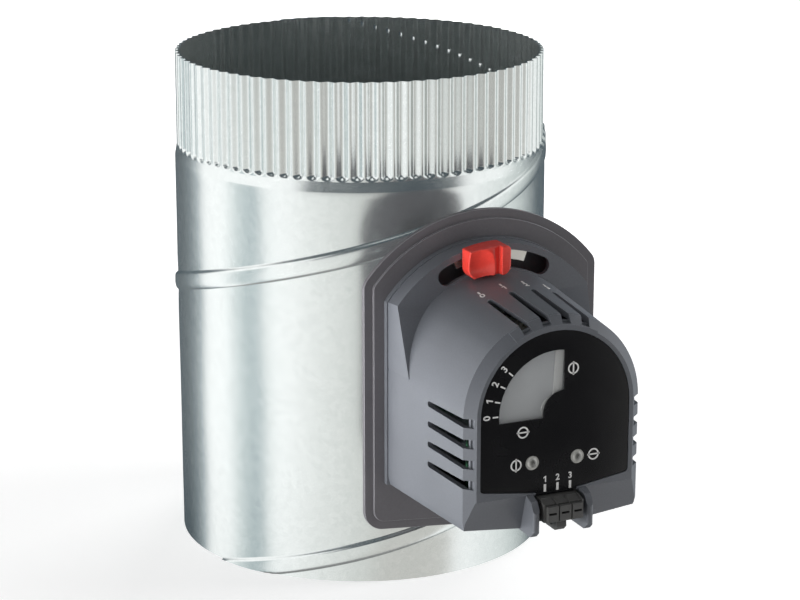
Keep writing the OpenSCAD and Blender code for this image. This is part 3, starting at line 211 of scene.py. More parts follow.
def zinc_sheet():
    """Minimized-spangle galvanized sheet: a soft mirror with a faint mottle of small flat zinc
    crystals. A thin frost of zinc oxide scatters some light, so even its dark reflections look
    milky."""
    material, tree, place = new_finish("hot_dip_galvanized_sheet")
    spangle_mm, grain_mm, roll_mm = 2.6, 0.7, 24.0
    spangle_share, grain_share, relief_mm = 0.22, 0.02, 0.12
    spangle = add_node(tree, "ShaderNodeTexVoronoi", {},
                       {"Vector": place, "Scale": 1 / (spangle_mm * mm)})
    grain = add_node(tree, "ShaderNodeTexNoise", {},
                     {"Vector": place, "Scale": 1 / (grain_mm * mm), "Detail": 4.0,
                      "Roughness": 0.7})
    roll = add_node(tree, "ShaderNodeTexNoise", {},
                    {"Vector": place, "Scale": 1 / (roll_mm * mm), "Detail": 2.0})
    tone = add_node(tree, "ShaderNodeSeparateColor", {}, {"Color": spangle.outputs["Color"]})
    mixed = add_node(tree, "ShaderNodeMath", {"operation": "MULTIPLY_ADD"},
                     {0: tone.outputs["Red"], 1: spangle_share, 2: grain.outputs["Fac"]})
    colour = add_node(tree, "ShaderNodeValToRGB", {}, {"Fac": mixed.outputs[0]})
    lay_tones(colour.color_ramp, [(0.3, "#dbe0df"), (0.95, "#e9edec")])
    frost = add_node(tree, "ShaderNodeMapRange", {},
                     {"Value": mixed.outputs[0], "From Min": 0.3, "From Max": 1.0,
                      "To Min": 0.2, "To Max": 0.27})
    relief = add_node(tree, "ShaderNodeMath", {"operation": "MULTIPLY_ADD"},
                      {0: grain.outputs["Fac"], 1: grain_share, 2: roll.outputs["Fac"]})
    bump = add_node(tree, "ShaderNodeBump", {},
                    {"Height": relief.outputs[0], "Distance": relief_mm * mm, "Strength": 0.5})
    end_finish(tree, "ShaderNodeBsdfPrincipled",
               {"Base Color": colour.outputs["Color"], "Metallic": 0.95,
                "Roughness": frost.outputs["Result"], "Normal": bump.outputs["Normal"]})
    return material


def fit(piece, material, body, slot, *nodes):
    """Finishes a piece, unless it has its finishes already, and fixes it to its body, in place of
    the nodes that it stands for."""
    if material:
        piece.data.materials.clear()
        piece.data.materials.append(material)
    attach(piece, body)
    if nodes:
        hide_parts(*nodes)


def coat(material, *nodes):
    """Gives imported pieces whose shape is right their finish."""
    for node in nodes:
        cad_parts[node].material_slots[0].material = material


galvanized = zinc_sheet()
sleeve_heights = [(crimp_z - neck_l) * i / sleeve_rows for i in range(sleeve_rows + 1)]
sleeve_heights += [crimp_z - neck_l * share for share in neck_shares]
sleeve = sheet_tube("sleeve_sheet", sleeve_columns, sleeve_heights, sleeve_radius)
punch = loft("bushing_punch", [[(x, side * 2 * duct_r, shaft_z + z)
                                for x, z in circle(bushing_hole_r, 64)] for side in (-1, 1)])
holes = sleeve.modifiers.new("bushing_holes", "BOOLEAN")
holes.object = punch
holes.operation = "DIFFERENCE"
settle(sleeve)
bpy.data.objects.remove(punch)
crease(sleeve, 40)
fit(sleeve, galvanized, "case", "galvanized_steel", "duct_sleeve")

# Crimped end
# The same sheet, drawn in by a crimper's blades so that it slips into the next duct. Each blade
# leaves a groove with a rounded lower end, and the crests stand between them.

duct_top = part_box("crimped_end")[1].z
crimp_count = 83
crimp_w = 2 * math.pi * duct_r / crimp_count
crimp_wall = 0.5 * crimp_w
crimp_depth = 1.6 * mm
crimp_tip = 2.0 * mm
crimp_middle_share = 0.75
crest_drop = 0.15 * mm
crimp_columns = 14 * crimp_count
tip_zone = crimp_tip * 1.2
tip_rows, straight_rows = 9, 6


def crimp_share(angle, z):
    """1 on the floor of a groove, 0 on a crest and below the grooves' rounded ends."""
    turn = angle / (2 * math.pi) * crimp_count - crimp_middle_share
    across = abs(turn - round(turn)) * crimp_w
    below = max(0.0, crimp_z + crimp_tip - z) * crimp_wall / crimp_tip
    return 1 - smooth_step(0, crimp_wall, math.hypot(across, below))


def crest_radius(z):
    """The crests start at the neck and lean in a little towards the top."""
    return duct_r - neck_in - crest_drop * (z - crimp_z) / (duct_top - crimp_z)


def crimp_radius(angle, z):
    return crest_radius(z) - crimp_depth * crimp_share(angle, z)


crimp_heights = [crimp_z + tip_zone * i / tip_rows for i in range(tip_rows + 1)]
tip_top = crimp_heights[-1]
crimp_heights += [tip_top + (duct_top - tip_top) * i / straight_rows
                  for i in range(1, straight_rows + 1)]
crimped = sheet_tube("crimped_sheet", crimp_columns, crimp_heights, crimp_radius)
crease(crimped, 50)
fit(crimped, galvanized, "case", "galvanized_steel", "crimped_end")

# Spiral lock seam
# Both edges of the strip are folded into each other and rolled flat, so a band of four layers
# climbs the duct. The crimper only half flattens it, which leaves a row of bumps.

seam_h = 1.2 * mm
seam_inner_h = 0.12 * mm
seam_follow = 0.55
seam_sliver = 0.15
plain_steps, crimped_steps = 260, 330
# Across the band from its lower edge: place as a share of half its width, height as a share
seam_outer_shares = [(-1, 0), (-0.96, 0.2), (-0.86, 0.48), (-0.7, 0.74), (-0.5, 0.9),
                     (-0.25, 0.98), (0, 1), (0.4, 1), (0.62, 0.97), (0.7, 0.9), (0.82, 0.52),
                     (0.94, 0.12), (1, 0)]
seam_inner_shares = [(1, 0), (0.95, 1), (0.4, 0.7), (-0.4, 0.7), (-0.9, 1.0), (-0.97, 1.2),
                     (-1, 0)]


def seam_base(angle, z):
    """Outside of the sheet under the seam."""
    if z < crimp_z:
        return sleeve_radius(angle, z)
    return crest_radius(z) - seam_follow * crimp_depth * crimp_share(angle, z)


def seam_ring(turn):
    """The band's cross-section at a turn, in radians from where it passes under the actuator."""
    angle, middle = turn - math.pi / 2, seam_z + seam_pitch * turn / (2 * math.pi)
    points = []
    for shares, out, start in ((seam_outer_shares, seam_h, 0),
                               (seam_inner_shares, -seam_inner_h, -sheet_t)):
        for across, height in shares:
            z = min(max(middle + across * seam_half, 0), duct_top)
            r = seam_base(angle, z) + start + out * height
            points.append((r * math.cos(angle), r * math.sin(angle), z))
    return points


def seam_turn(z):
    """The turn, in radians, at which the middle of the band is at a height."""
    return (z - seam_z) / seam_pitch * 2 * math.pi


# The band runs out over both ends of the duct until a sliver of its width is left
seam_first = seam_turn(seam_sliver * seam_half - seam_half)
seam_crimps = seam_turn(crimp_z - seam_half)
seam_last = seam_turn(duct_top + (1 - seam_sliver) * seam_half)
seam_turns = [seam_first + (seam_crimps - seam_first) * i / plain_steps
              for i in range(plain_steps)]
seam_turns += [seam_crimps + (seam_last - seam_crimps) * i / crimped_steps
               for i in range(crimped_steps + 1)]
seam = loft("lock_seam", [seam_ring(turn) for turn in seam_turns])
crease(seam, 50)
fit(seam, galvanized, "case", "galvanized_steel", "spiral_seam")

# Blade, shaft and bushings
# Two pressed discs of galvanized sheet clamp a foam gasket, and bolts and rivets hold them to a
# zinc-plated shaft, which turns in two nylon bushings and is kept in by clips.


def plated_steel(name, light, dark, roughness, brush_mm):
    """Electroplated steel: a smooth mirror with fine drawn lines and a faint cloud. The lines are
    drawn coarser than they are, so that they show."""
    material, tree, place = new_finish(name)
    drawn_mm, cloud_mm, relief_mm = 20, 7, 0.02
    spread = 0.08
    stretched = add_node(tree, "ShaderNodeMapping", {},
                         {"Vector": place, "Scale": (1 / (brush_mm * mm), 1 / (drawn_mm * mm),
                                                     1 / (brush_mm * mm))})
    lines = add_node(tree, "ShaderNodeTexNoise", {},
                     {"Vector": stretched.outputs[0], "Scale": 1.0, "Detail": 3.0})
    cloud = add_node(tree, "ShaderNodeTexNoise", {},
                     {"Vector": place, "Scale": 1 / (cloud_mm * mm), "Detail": 3.0})
    colour = add_node(tree, "ShaderNodeMix", {"data_type": "RGBA"},
                      {"Factor": cloud.outputs["Fac"], "A": to_linear(light),
                       "B": to_linear(dark)})
    rough = add_node(tree, "ShaderNodeMapRange", {},
                     {"Value": lines.outputs["Fac"], "To Min": roughness - spread,
                      "To Max": roughness + spread})
    bump = add_node(tree, "ShaderNodeBump", {},
                    {"Height": lines.outputs["Fac"], "Distance": relief_mm * mm,
                     "Strength": 0.5})
    end_finish(tree, "ShaderNodeBsdfPrincipled",
               {"Base Color": colour.outputs["Result"], "Metallic": 1.0,
                "Roughness": rough.outputs["Result"], "Normal": bump.outputs["Normal"]})
    return material


def moulded(name, colour, roughness, grain_mm, grain_h_mm, ior=1.53):
    """An injection moulding: slightly cloudy pigment under the fine spark-eroded grain of the
    mould, which is drawn coarser than it is, so that it shows."""
    material, tree, place = new_finish(name)
    cloud_mm = 14
    shadow_share, light_share = 0.9, 1.09
    spread = 0.06
    grain = add_node(tree, "ShaderNodeTexNoise", {},
                     {"Vector": place, "Scale": 1 / (grain_mm * mm), "Detail": 3.0,
                      "Roughness": 0.6})
    cloud = add_node(tree, "ShaderNodeTexNoise", {},
                     {"Vector": place, "Scale": 1 / (cloud_mm * mm), "Detail": 4.0})
    shadow = [c * shadow_share for c in to_linear(colour)[:3]] + [1]
    light = [min(1, c * light_share) for c in to_linear(colour)[:3]] + [1]
    pigment = add_node(tree, "ShaderNodeMix", {"data_type": "RGBA"},
                       {"Factor": cloud.outputs["Fac"], "A": shadow, "B": light})
    speck = add_node(tree, "ShaderNodeMapRange", {},
                     {"Value": grain.outputs["Fac"], "From Min": 0.3, "From Max": 0.7,
                      "To Min": 0.94, "To Max": 1.05})
    tone = add_node(tree, "ShaderNodeVectorMath", {"operation": "SCALE"},
                    {0: pigment.outputs["Result"], "Scale": speck.outputs["Result"]})
    rough = add_node(tree, "ShaderNodeMapRange", {},
                     {"Value": cloud.outputs["Fac"], "To Min": roughness - spread,
                      "To Max": roughness + spread})
    bump = add_node(tree, "ShaderNodeBump", {},
                    {"Height": grain.outputs["Fac"], "Distance": grain_h_mm * mm,
                     "Strength": 0.7})
    end_finish(tree, "ShaderNodeBsdfPrincipled",
               {"Base Color": tone.outputs["Vector"], "Roughness": rough.outputs["Result"],
                "IOR": ior, "Normal": bump.outputs["Normal"]})
    return material


def closed_cell_foam():
    """Closed cell foam rubber: dull black, pitted by the cells that its cut edge opens."""
    material, tree, place = new_finish("closed_cell_foam_rubber")
    cell_mm, pit_mm = 0.8, 0.2
    cells = add_node(tree, "ShaderNodeTexVoronoi", {},
                     {"Vector": place, "Scale": 1 / (cell_mm * mm)})
    colour = add_node(tree, "ShaderNodeMix", {"data_type": "RGBA"},
                      {"Factor": cells.outputs["Distance"], "A": to_linear("#232323"),
                       "B": to_linear("#3c3c3b")})
    bump = add_node(tree, "ShaderNodeBump", {},
                    {"Height": cells.outputs["Distance"], "Distance": pit_mm * mm})
    end_finish(tree, "ShaderNodeBsdfPrincipled",
               {"Base Color": colour.outputs["Result"], "Roughness": 0.9,
                "Normal": bump.outputs["Normal"]})
    return material


bright_zinc = plated_steel("bright_zinc_plated_steel", "#d7dbdd", "#bcc1c4", 0.3, 0.35)
natural_nylon = moulded("natural_nylon_moulding", "#e2ddcf", 0.45, 0.7, 0.02)
coat(galvanized, "blade_plate_left", "blade_plate_right")
coat(closed_cell_foam(), "blade_gasket")
coat(bright_zinc, "shaft", "shaft_clips", "blade_fasteners")
coat(natural_nylon, "near_bushing", "far_bushing")

# Standoff bracket
# One strip of 1.5 mm steel folded into a channel with two curved feet, then zinc plated. Four
# rivets fix the feet to the sleeve, and it leaves room for duct insulation behind the actuator.

coat(bright_zinc, "standoff_bracket", "bracket_rivets", "plate_screws", "cover_screws")

# Base plate
# A flat moulding of dark warm grey ABS with a stepped edge. Its face has a fine spark-eroded
# grain, and it carries the posts and the boss of everything inside.

weld = 0.002 * mm
flat_angle = math.radians(0.3)
sharp_angle = math.radians(30)
case_ease = 0.32 * mm


def eased(node, name, width, finishes=(), segments=2):
    """A copy of a moulded piece whose sharp edges are eased, as its mould leaves them. The last of
    its finishes goes on those edges."""
    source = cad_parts[node].data
    shape = bmesh.new()
    corners = [shape.verts.new(v.co) for v in source.vertices]
    for polygon in source.polygons:
        shape.faces.new([corners[i] for i in polygon.vertices])
    bmesh.ops.remove_doubles(shape, verts=shape.verts, dist=weld)
    bmesh.ops.dissolve_limit(shape, angle_limit=flat_angle, verts=shape.verts, edges=shape.edges)
    mesh = bpy.data.meshes.new(name)
    shape.to_mesh(mesh)
    shape.free()
    make_smooth(mesh)
    for finish in finishes:
        mesh.materials.append(finish)
    piece = add_object(name, mesh)
    bevel = piece.modifiers.new("eased_edges", "BEVEL")
    bevel.width = width
    bevel.segments = segments
    bevel.material = len(finishes) - 1
    bevel.limit_method = "ANGLE"
    bevel.angle_limit = sharp_angle
    normals = piece.modifiers.new("even_shading", "WEIGHTED_NORMAL")
    normals.keep_sharp = False
    settle(piece)
    return piece


# The eased edges of the mouldings get a smoother finish that is lighter than their faces: a painted
# highlight where the edges catch the light
base_abs = moulded("dark_grey_abs_moulding", "#615f63", 0.5, 0.8, 0.03)
painted_highlight_base_abs = moulded("painted_highlight_edge_of_dark_grey_abs", "#a3a2a7", 0.35, 0.8, 0.01)
plate = eased("base_plate", "base_moulding", case_ease, (base_abs, painted_highlight_base_abs))
fit(plate, None, "case", "base_plastic", "base_plate")

# Gear train and motor
# A small synchronous motor turns a nylon idler and the output gear on the shaft. A zinc-plated
# plate on three posts carries the motor and steadies the idler's pin.

coat(natural_nylon, "output_gear", "idler_gear")
coat(bright_zinc, "hub_screw", "idler_pin", "motor_pinion", "gear_plate", "gear_plate_screws",
     "drive_motor", "motor_screws")

# Range stop
# A nickel-plated steel lever turns on the base plate's boss. Its strip shows in the arc slot, and
# a glossy red ABS knob with a thumb scoop is pressed on it.

nickel = plated_steel("nickel_plated_steel", "#f6f4ee", "#e8e6df", 0.4, 0.3)
knob_red = moulded("glossy_red_abs_moulding", "#e5453b", 0.16, 1.6, 0.004)
coat(nickel, "stop_lever")
coat(bright_zinc, "lever_washer")
knob = eased("stop_knob", "range_knob", 0.1 * mm, segments=1)
skin = knob.modifiers.new("even_skin", "REMESH")
skin.mode = "VOXEL"
skin.voxel_size = 0.22 * mm
rounded = knob.modifiers.new("rounded_edges", "SMOOTH")
rounded.factor = 0.5
rounded.iterations = 18
settle(knob)
make_smooth(knob.data)
fit(knob, knob_red, "range_stop", "knob_plastic", "stop_knob")

# Housing
# The actuator's cover is one drafted shell of blue-grey ABS with vents, a collar for the range
# stop and a bevelled front rim. Four screws through the base plate hold it.

case_abs = moulded("blue_grey_abs_moulding", "#65686e", 0.42, 0.6, 0.02)
# Its eased edges get a lighter, smoother finish: a painted highlight where they catch the light
painted_highlight_case_abs = moulded("painted_highlight_edge_of_blue_grey_abs", "#b6b9be", 0.3, 0.6, 0.01)
cover = eased("housing_cover", "housing_moulding", case_ease, (case_abs, painted_highlight_case_abs))
fit(cover, None, "case", "case_plastic", "housing_cover")

# Face plate
# A satin black overlay of polycarbonate lies in a shallow recess of the rim. It is screen printed
# in white with plain figures and ticks, and is cut out for the window and the lamps.

face_front = -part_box("face_plate")[0].y
ink_t = 0.04 * mm
# A figure's height over the font's size, and how much bolder it is, as a share of its height
font_share, bold_share = 0.73, 0.03
# A one with its flag, as shares of its height
one_shares = [(-0.02, -0.5), (0.18, -0.5), (0.18, 0.5), (0.02, 0.5), (-0.26, 0.3), (-0.26, 0.1),
              (-0.02, 0.24)]


def face_place(u, w, turn=0.0):
    """A place on the face plate, u to the right and w up from the shaft, turned by degrees."""
    return (Matrix.Translation((u, -face_front, shaft_z + w)) @ Matrix.Rotation(math.pi / 2, 4, "X")
            @ Matrix.Rotation(math.radians(turn), 4, "Z"))


def figure(text, height):
    """A plain bold figure as a flat curve, centred on its place."""
    if text == "1":
        return flat_shape([[(x * height, y * height) for x, y in one_shares]])
    curve = bpy.data.curves.new("figure", "FONT")
    curve.body = text
    curve.size = height / font_share
    curve.align_x = "CENTER"
    curve.align_y = "CENTER"
    curve.extrude = ink_t / 2
    curve.offset = height * bold_share
    return curve


def flat_shape(outlines):
    """Closed outlines as one flat curve, where an outline inside another is a hole."""
    curve = bpy.data.curves.new("shape", "CURVE")
    curve.dimensions = "2D"
    curve.fill_mode = "BOTH"
    curve.extrude = ink_t / 2
    for outline in outlines:
        spline = curve.splines.new("POLY")
        spline.points.add(len(outline) - 1)
        for point, (x, y) in zip(spline.points, outline):
            point.co = (x, y, 0, 1)
        spline.use_cyclic_u = True
    return curve


def bar(width, height):
    return [(sx * width / 2, sy * height / 2) for sx, sy in ((-1, -1), (1, -1), (1, 1), (-1, 1))]


def print_layer(name, marks):
    """One layer of ink: flat curves, each at its place, as a single piece."""
    layer = bmesh.new()
    graph = bpy.context.evaluated_depsgraph_get()
    for curve, place in marks:
        holder = add_object("mark", curve)
        graph.update()
        mesh = bpy.data.meshes.new_from_object(holder.evaluated_get(graph))
        mesh.transform(place @ Matrix.Translation((0, 0, ink_t / 2)))
        layer.from_mesh(mesh)
        bpy.data.objects.remove(holder)
    bmesh.ops.remove_doubles(layer, verts=layer.verts, dist=ink_t / 20)
    mesh = bpy.data.meshes.new(name)
    layer.to_mesh(mesh)
    layer.free()
    return add_object(name, mesh)


white_ink = moulded("white_screen_ink", "#e9e9e7", 0.5, 0.5, 0.004)
face_film = moulded("satin_black_polycarbonate_overlay", "#19191b", 0.26, 0.5, 0.006, 1.5)
overlay = eased("face_plate", "face_overlay", 0.15 * mm)
fit(overlay, face_film, "case", "face_plastic", "face_plate")

# The dial's scale, where each figure stands outside its tick
dial_angles = [178.6, 165.5, 151.9, 138.9]
dial_r, figure_out = 24.0 * mm, 3.3 * mm
tick_w, tick_l = 0.55 * mm, 2.2 * mm
figure_h = 2.7 * mm


def dial_place(r, angle):
    a = math.radians(angle)
    return face_place(r * math.cos(a), r * math.sin(a), angle - 90)


dial_marks = []
for number, angle in enumerate(dial_angles):
    dial_marks.append((flat_shape([bar(tick_w, tick_l)]), dial_place(dial_r, angle)))
    dial_marks.append((figure(str(number), figure_h), dial_place(dial_r + figure_out, angle)))
fit(print_layer("dial_print", dial_marks), white_ink, "case", "face_plastic")

# Round signs: a blade in line with the duct is open, and one across it is closed. Each has its
# place in mm from the shaft, and whether it is open
sign_places = [(6.8, 15.0, True), (-13.0, -6.6, False), (-15.6, -18.7, True),
               (15.6, -18.7, False)]
sign_r, sign_line = 2.2 * mm, 0.55 * mm
blade_l = 2.3 * sign_r
signs = []
for u, w, is_open in sign_places:
    blade_bar = bar(sign_line, blade_l) if is_open else bar(blade_l, sign_line)
    place = face_place(u * mm, w * mm)
    signs.append((flat_shape([circle(sign_r), circle(sign_r - sign_line)]), place))
    signs.append((flat_shape([blade_bar]), place))
fit(print_layer("damper_signs", signs), white_ink, "case", "face_plastic")

# A figure and a bar over each terminal
pole_pitch = 5.08 * mm
terminal_x, print_shift = 0.7 * mm, 0.5 * mm
pole_bar_w, pole_bar_l, pole_bar_z = 0.95 * mm, 2.9 * mm, -28.9 * mm
pole_figure_h, pole_figure_z = 2.4 * mm, -25.5 * mm
poles = []
for i in range(3):
    u = terminal_x + print_shift + (i - 1) * pole_pitch
    poles.append((flat_shape([bar(pole_bar_w, pole_bar_l)]), face_place(u, pole_bar_z)))
    poles.append((figure(str(i + 1), pole_figure_h), face_place(u, pole_figure_z)))
fit(print_layer("terminal_print", poles), white_ink, "case", "face_plastic")

# Range figures on the barrel
# The same plain figures are pad printed on top of the housing, behind each of the four grooves,
# one for every place of the range stop.

plate_front = 117.3 * mm
foot_half, rim_half, barrel_l = 40 * mm, 35.2 * mm, 57.7 * mm
draft = math.atan((foot_half - rim_half) / barrel_l)
mark_step = 13.7
range_figure_h, range_figure_out = 2.8 * mm, 144.5 * mm
range_tick_w, range_tick_l, range_tick_out = 0.7 * mm, 2 * mm, 141.6 * mm


def barrel_place(lean, out):
    """A place on the drafted top of the barrel, leaning by degrees, out from the duct's axis."""
    r = foot_half - math.tan(draft) * (out - plate_front)
    return (Matrix.Translation((0, 0, shaft_z)) @ Matrix.Rotation(math.radians(lean), 4, "Y")
            @ Matrix.Translation((0, -out, r)) @ Matrix.Rotation(draft, 4, "X"))


range_marks = []
for number in range(4):
    lean = (number - 1.5) * mark_step
    range_marks.append((figure(str(number), range_figure_h), barrel_place(lean, range_figure_out)))
    tick = flat_shape([bar(range_tick_w, range_tick_l)])
    range_marks.append((tick, barrel_place(lean, range_tick_out)))
fit(print_layer("range_print", range_marks), white_ink, "case", "case_plastic")

# Window, dial and pointer
# A clear polycarbonate window sits behind the overlay. Under it lies a light grey dial, and a
# white acetal pointer on the shaft's end turns between them.


def clear_polycarbonate():
    """Thin clear polycarbonate: its gloss shows, and the dial shows through it."""
    material, tree, place = new_finish("clear_polycarbonate_window")
    haze_mm = 6
    haze = add_node(tree, "ShaderNodeTexNoise", {},
                    {"Vector": place, "Scale": 1 / (haze_mm * mm), "Detail": 2.0})
    rough = add_node(tree, "ShaderNodeMapRange", {},
                     {"Value": haze.outputs["Fac"], "To Min": 0.05, "To Max": 0.14})
    end_finish(tree, "ShaderNodeBsdfPrincipled",
               {"Base Color": to_linear("#c9cccd"), "Roughness": rough.outputs["Result"],
                "IOR": 1.58, "Alpha": 0.22})
    return material


coat(clear_polycarbonate(), "window_lens")
coat(moulded("light_grey_dial_card", "#cdcfd1", 0.55, 0.5, 0.006), "dial_plate")
coat(moulded("white_acetal_pointer", "#f1f1ee", 0.35, 0.6, 0.006), "position_pointer")

# Lamps
# Two 5 mm LEDs on the circuit board look out through the overlay, one for open and one for closed.
# Their clear epoxy has the cup inside painted on as a painted reflection, with a bright rim and a
# dark well.

lamp_r = 2.6 * mm


def lamp_epoxy(name, centre):
    """Water-clear epoxy over a silvered cup, with the cup's reflection painted in: light at its rim
    and dark in its well.
    """
    material, tree, place = new_finish(name)
    offset = add_node(tree, "ShaderNodeVectorMath", {"operation": "SUBTRACT"},
                      {0: place, 1: centre})
    flat = add_node(tree, "ShaderNodeVectorMath", {"operation": "MULTIPLY"},
                    {0: offset.outputs[0], 1: (1, 0, 1)})
    reach = add_node(tree, "ShaderNodeVectorMath", {"operation": "LENGTH"}, {0: flat.outputs[0]})
    share = add_node(tree, "ShaderNodeMath", {"operation": "DIVIDE"},
                     {0: reach.outputs["Value"], 1: lamp_r})
    colour = add_node(tree, "ShaderNodeValToRGB", {}, {"Fac": share.outputs[0]})
    lay_tones(colour.color_ramp, [(0, "#8f8f8b"), (0.16, "#5a5a57"), (0.42, "#6b6b68"),
                                  (0.6, "#a9a9a4"), (0.95, "#bdbdb8")])
    end_finish(tree, "ShaderNodeBsdfPrincipled",
               {"Base Color": colour.outputs["Color"], "Roughness": 0.08, "IOR": 1.5,
                "Coat Weight": 1.0, "Coat Roughness": 0.03})
    return material


for node in ("open_lamp", "closed_lamp"):
    low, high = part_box(node)
    coat(lamp_epoxy(node + "_epoxy", tuple((low + high) / 2)), node)

# Terminals
# A dark grey polyamide plug with three push-in cells slides on a header on the circuit board. A
# small lever over each cell turns on a steel pin and frees the wire.

terminal_ease, key_ease = 0.12 * mm, 0.1 * mm
terminal_pa = moulded("dark_grey_polyamide_moulding", "#525251", 0.48, 0.5, 0.02)
plug = eased("terminal_plug", "plug_moulding", terminal_ease)
fit(plug, terminal_pa, "plug", "terminal_plastic", "terminal_plug")
header = eased("terminal_header", "header_moulding", terminal_ease)
fit(header, terminal_pa, "case", "terminal_plastic", "terminal_header")
for number in (1, 2, 3):
    lever = "release_lever_%d" % number
    key = eased(lever, "release_key_%d" % number, key_ease)
    fit(key, terminal_pa, "release_%d" % number, "terminal_plastic", lever)
coat(bright_zinc, "release_pin")

# Circuit board
# Glass-epoxy board with a green solder mask over its copper tracks, screwed to two posts behind
# the face.


def solder_mask():
    """Green solder mask, a little lighter where a copper track runs under it."""
    material, tree, place = new_finish("green_solder_mask")
    track_mm = 12
    tracks = add_node(tree, "ShaderNodeTexBrick", {"offset": 0.37, "squash": 0.6},
                      {"Vector": place, "Scale": 1 / (track_mm * mm), "Mortar Size": 0.03,
                       "Color1": to_linear("#14402a"), "Color2": to_linear("#184a31"),
                       "Mortar": to_linear("#2a6543")})
    end_finish(tree, "ShaderNodeBsdfPrincipled",
               {"Base Color": tracks.outputs["Color"], "Roughness": 0.3, "IOR": 1.55})
    return material


coat(solder_mask(), "circuit_board")
coat(bright_zinc, "board_screws")

# Studio
# A plain pale floor and a white room. A tent of white and grey panels, which only reflections
# see, gives the metal its soft upright bands, as round metal is photographed.

camera_from = Vector((-0.3964, -0.9340, 0.3880))
floor_reach = 6.0


def studio_sheet(name, points, material, faces=None):
    """A floor, panel or card of the studio: one flat face, unless it is given more."""
    mesh = bpy.data.meshes.new(name)
    mesh.from_pydata(points, [], faces or [tuple(range(len(points)))])
    mesh.materials.append(material)
    sheet = add_object(name, mesh)
    return sheet


# Matt white paper. The camera sees painted light on it, less near the part and more away from it,
# which paints the floor darker around the part
floor_mat, tree, place = new_finish("white_studio_floor")
seen = add_node(tree, "ShaderNodeLightPath").outputs["Is Camera Ray"]
mottle = add_node(tree, "ShaderNodeTexNoise", {}, {"Vector": place, "Scale": 9.0})
paper = add_node(tree, "ShaderNodeMix", {"data_type": "RGBA"},
                 {"Factor": mottle.outputs["Fac"], "A": to_linear("#f2f2f2"),
                  "B": to_linear("#f5f5f5")})
away = add_node(tree, "ShaderNodeVectorMath", {"operation": "LENGTH"}, {0: place})
painted_floor_light = add_node(tree, "ShaderNodeMapRange", {},
                      {"Value": away.outputs["Value"], "From Min": 0.15, "From Max": 0.8,
                       "To Min": 0.52, "To Max": 0.8})
camera_floor_light_painted = add_node(tree, "ShaderNodeMath", {"operation": "MULTIPLY"},
                   {0: seen, 1: painted_floor_light.outputs["Result"]})
end_finish(tree, "ShaderNodeBsdfPrincipled",
           {"Base Color": paper.outputs["Result"], "Roughness": 0.9, "Specular IOR Level": 0.0,
            "Emission Color": (1, 1, 1, 1), "Emission Strength": camera_floor_light_painted.outputs[0]})
floor = studio_sheet("studio_floor", [(x, y, 0) for x, y in bar(2 * floor_reach, 2 * floor_reach)],
                     floor_mat)
floor.visible_glossy = False

# Tones of the tent's wall, by angle from the camera's side: positive turns to the camera's left.
# The table's sweep fills it up to sweep_z, and over that only the two softboxes are bright.
sweep_z, sweep_fade = 0.12, 0.03
sweep_tones = [(-180, "#46525a"), (-135, "#46525a"), (-110, "#c6cccb"), (-96, "#dfe3e2"),
               (-60, "#ffffff"), (-52, "#c8c6c2"), (-14, "#c8c6c2"), (0, "#d6d7d4"),
               (22, "#e6e7e5"), (50, "#ffffff"), (58, "#f6f8f7"), (63, "#9fadb1"),
               (71, "#9fadb1"), (76, "#c2cccd"), (83, "#dde3e3"), (88, "#ffffff"),
               (110, "#ffffff"), (113, "#8f9ca1"), (126, "#566268"), (140, "#3d484e"),
               (180, "#46525a")]
upper_tones = [(-180, "#46525a"), (-135, "#46525a"), (-110, "#c6cccb"), (-96, "#ffffff"),
               (-64, "#ffffff"), (-58, "#454e54"), (30, "#454e54"), (36, "#ffffff"),
               (110, "#ffffff"), (126, "#566268"), (180, "#46525a")]
tent_mat, tree, place = new_finish("tent_panels")
axes = add_node(tree, "ShaderNodeSeparateXYZ", {}, {"Vector": place})
bearing = add_node(tree, "ShaderNodeMath", {"operation": "ARCTAN2"},
                   {0: axes.outputs["Y"], 1: axes.outputs["X"]})
share = add_node(tree, "ShaderNodeMapRange", {},
                 {"Value": bearing.outputs[0], "From Min": -math.pi, "From Max": math.pi,
                  "To Min": 0.0, "To Max": 1.0})
above = add_node(tree, "ShaderNodeMapRange", {},
                 {"Value": axes.outputs["Z"], "From Min": -sweep_z,
                  "From Max": -sweep_z - sweep_fade})
wall_tones = []
for tones in (sweep_tones, upper_tones):
    turn = add_node(tree, "ShaderNodeValToRGB", {}, {"Fac": share.outputs["Result"]})
    lay_tones(turn.color_ramp, [((angle + 180) / 360, code) for angle, code in tones])
    wall_tones.append(turn.outputs["Color"])
panels = add_node(tree, "ShaderNodeMix", {"data_type": "RGBA"},
                  {"Factor": above.outputs["Result"], "A": wall_tones[0], "B": wall_tones[1]})
end_finish(tree, "ShaderNodeEmission", {"Color": panels.outputs["Result"], "Strength": 1.2})

# The wall is made upside down and turned over, so its angles run as the tones do
tent_r, tent_top, tent_depth = 0.85, 0.9, 1.15
sides = 96
wall_points = [(x, y, z) for z in (-tent_top, tent_depth) for x, y in circle(tent_r, sides)]
wall_faces = [(i, (i + 1) % sides, sides + (i + 1) % sides, sides + i) for i in range(sides)]
tent = studio_sheet("tent_wall", wall_points, tent_mat, wall_faces)
tent.rotation_euler = (math.pi, 0, math.atan2(camera_from.y, camera_from.x))

roof_mat, tree, place = new_finish("tent_roof")
end_finish(tree, "ShaderNodeEmission", {"Color": to_linear("#4d585d"), "Strength": 1.0})
roof = studio_sheet("tent_roof", [(x, y, tent_top) for x, y in circle(tent_r, sides)], roof_mat)

# A small softbox right overhead draws the bright line along every upper edge
top_w, top_z = 0.5, 0.85
top_mat, tree, place = new_finish("top_softbox")
end_finish(tree, "ShaderNodeEmission", {"Color": (1, 1, 1, 1), "Strength": 1.3})
top_box = studio_sheet("top_softbox", [(x, y, top_z) for x, y in bar(top_w, top_w)], top_mat)

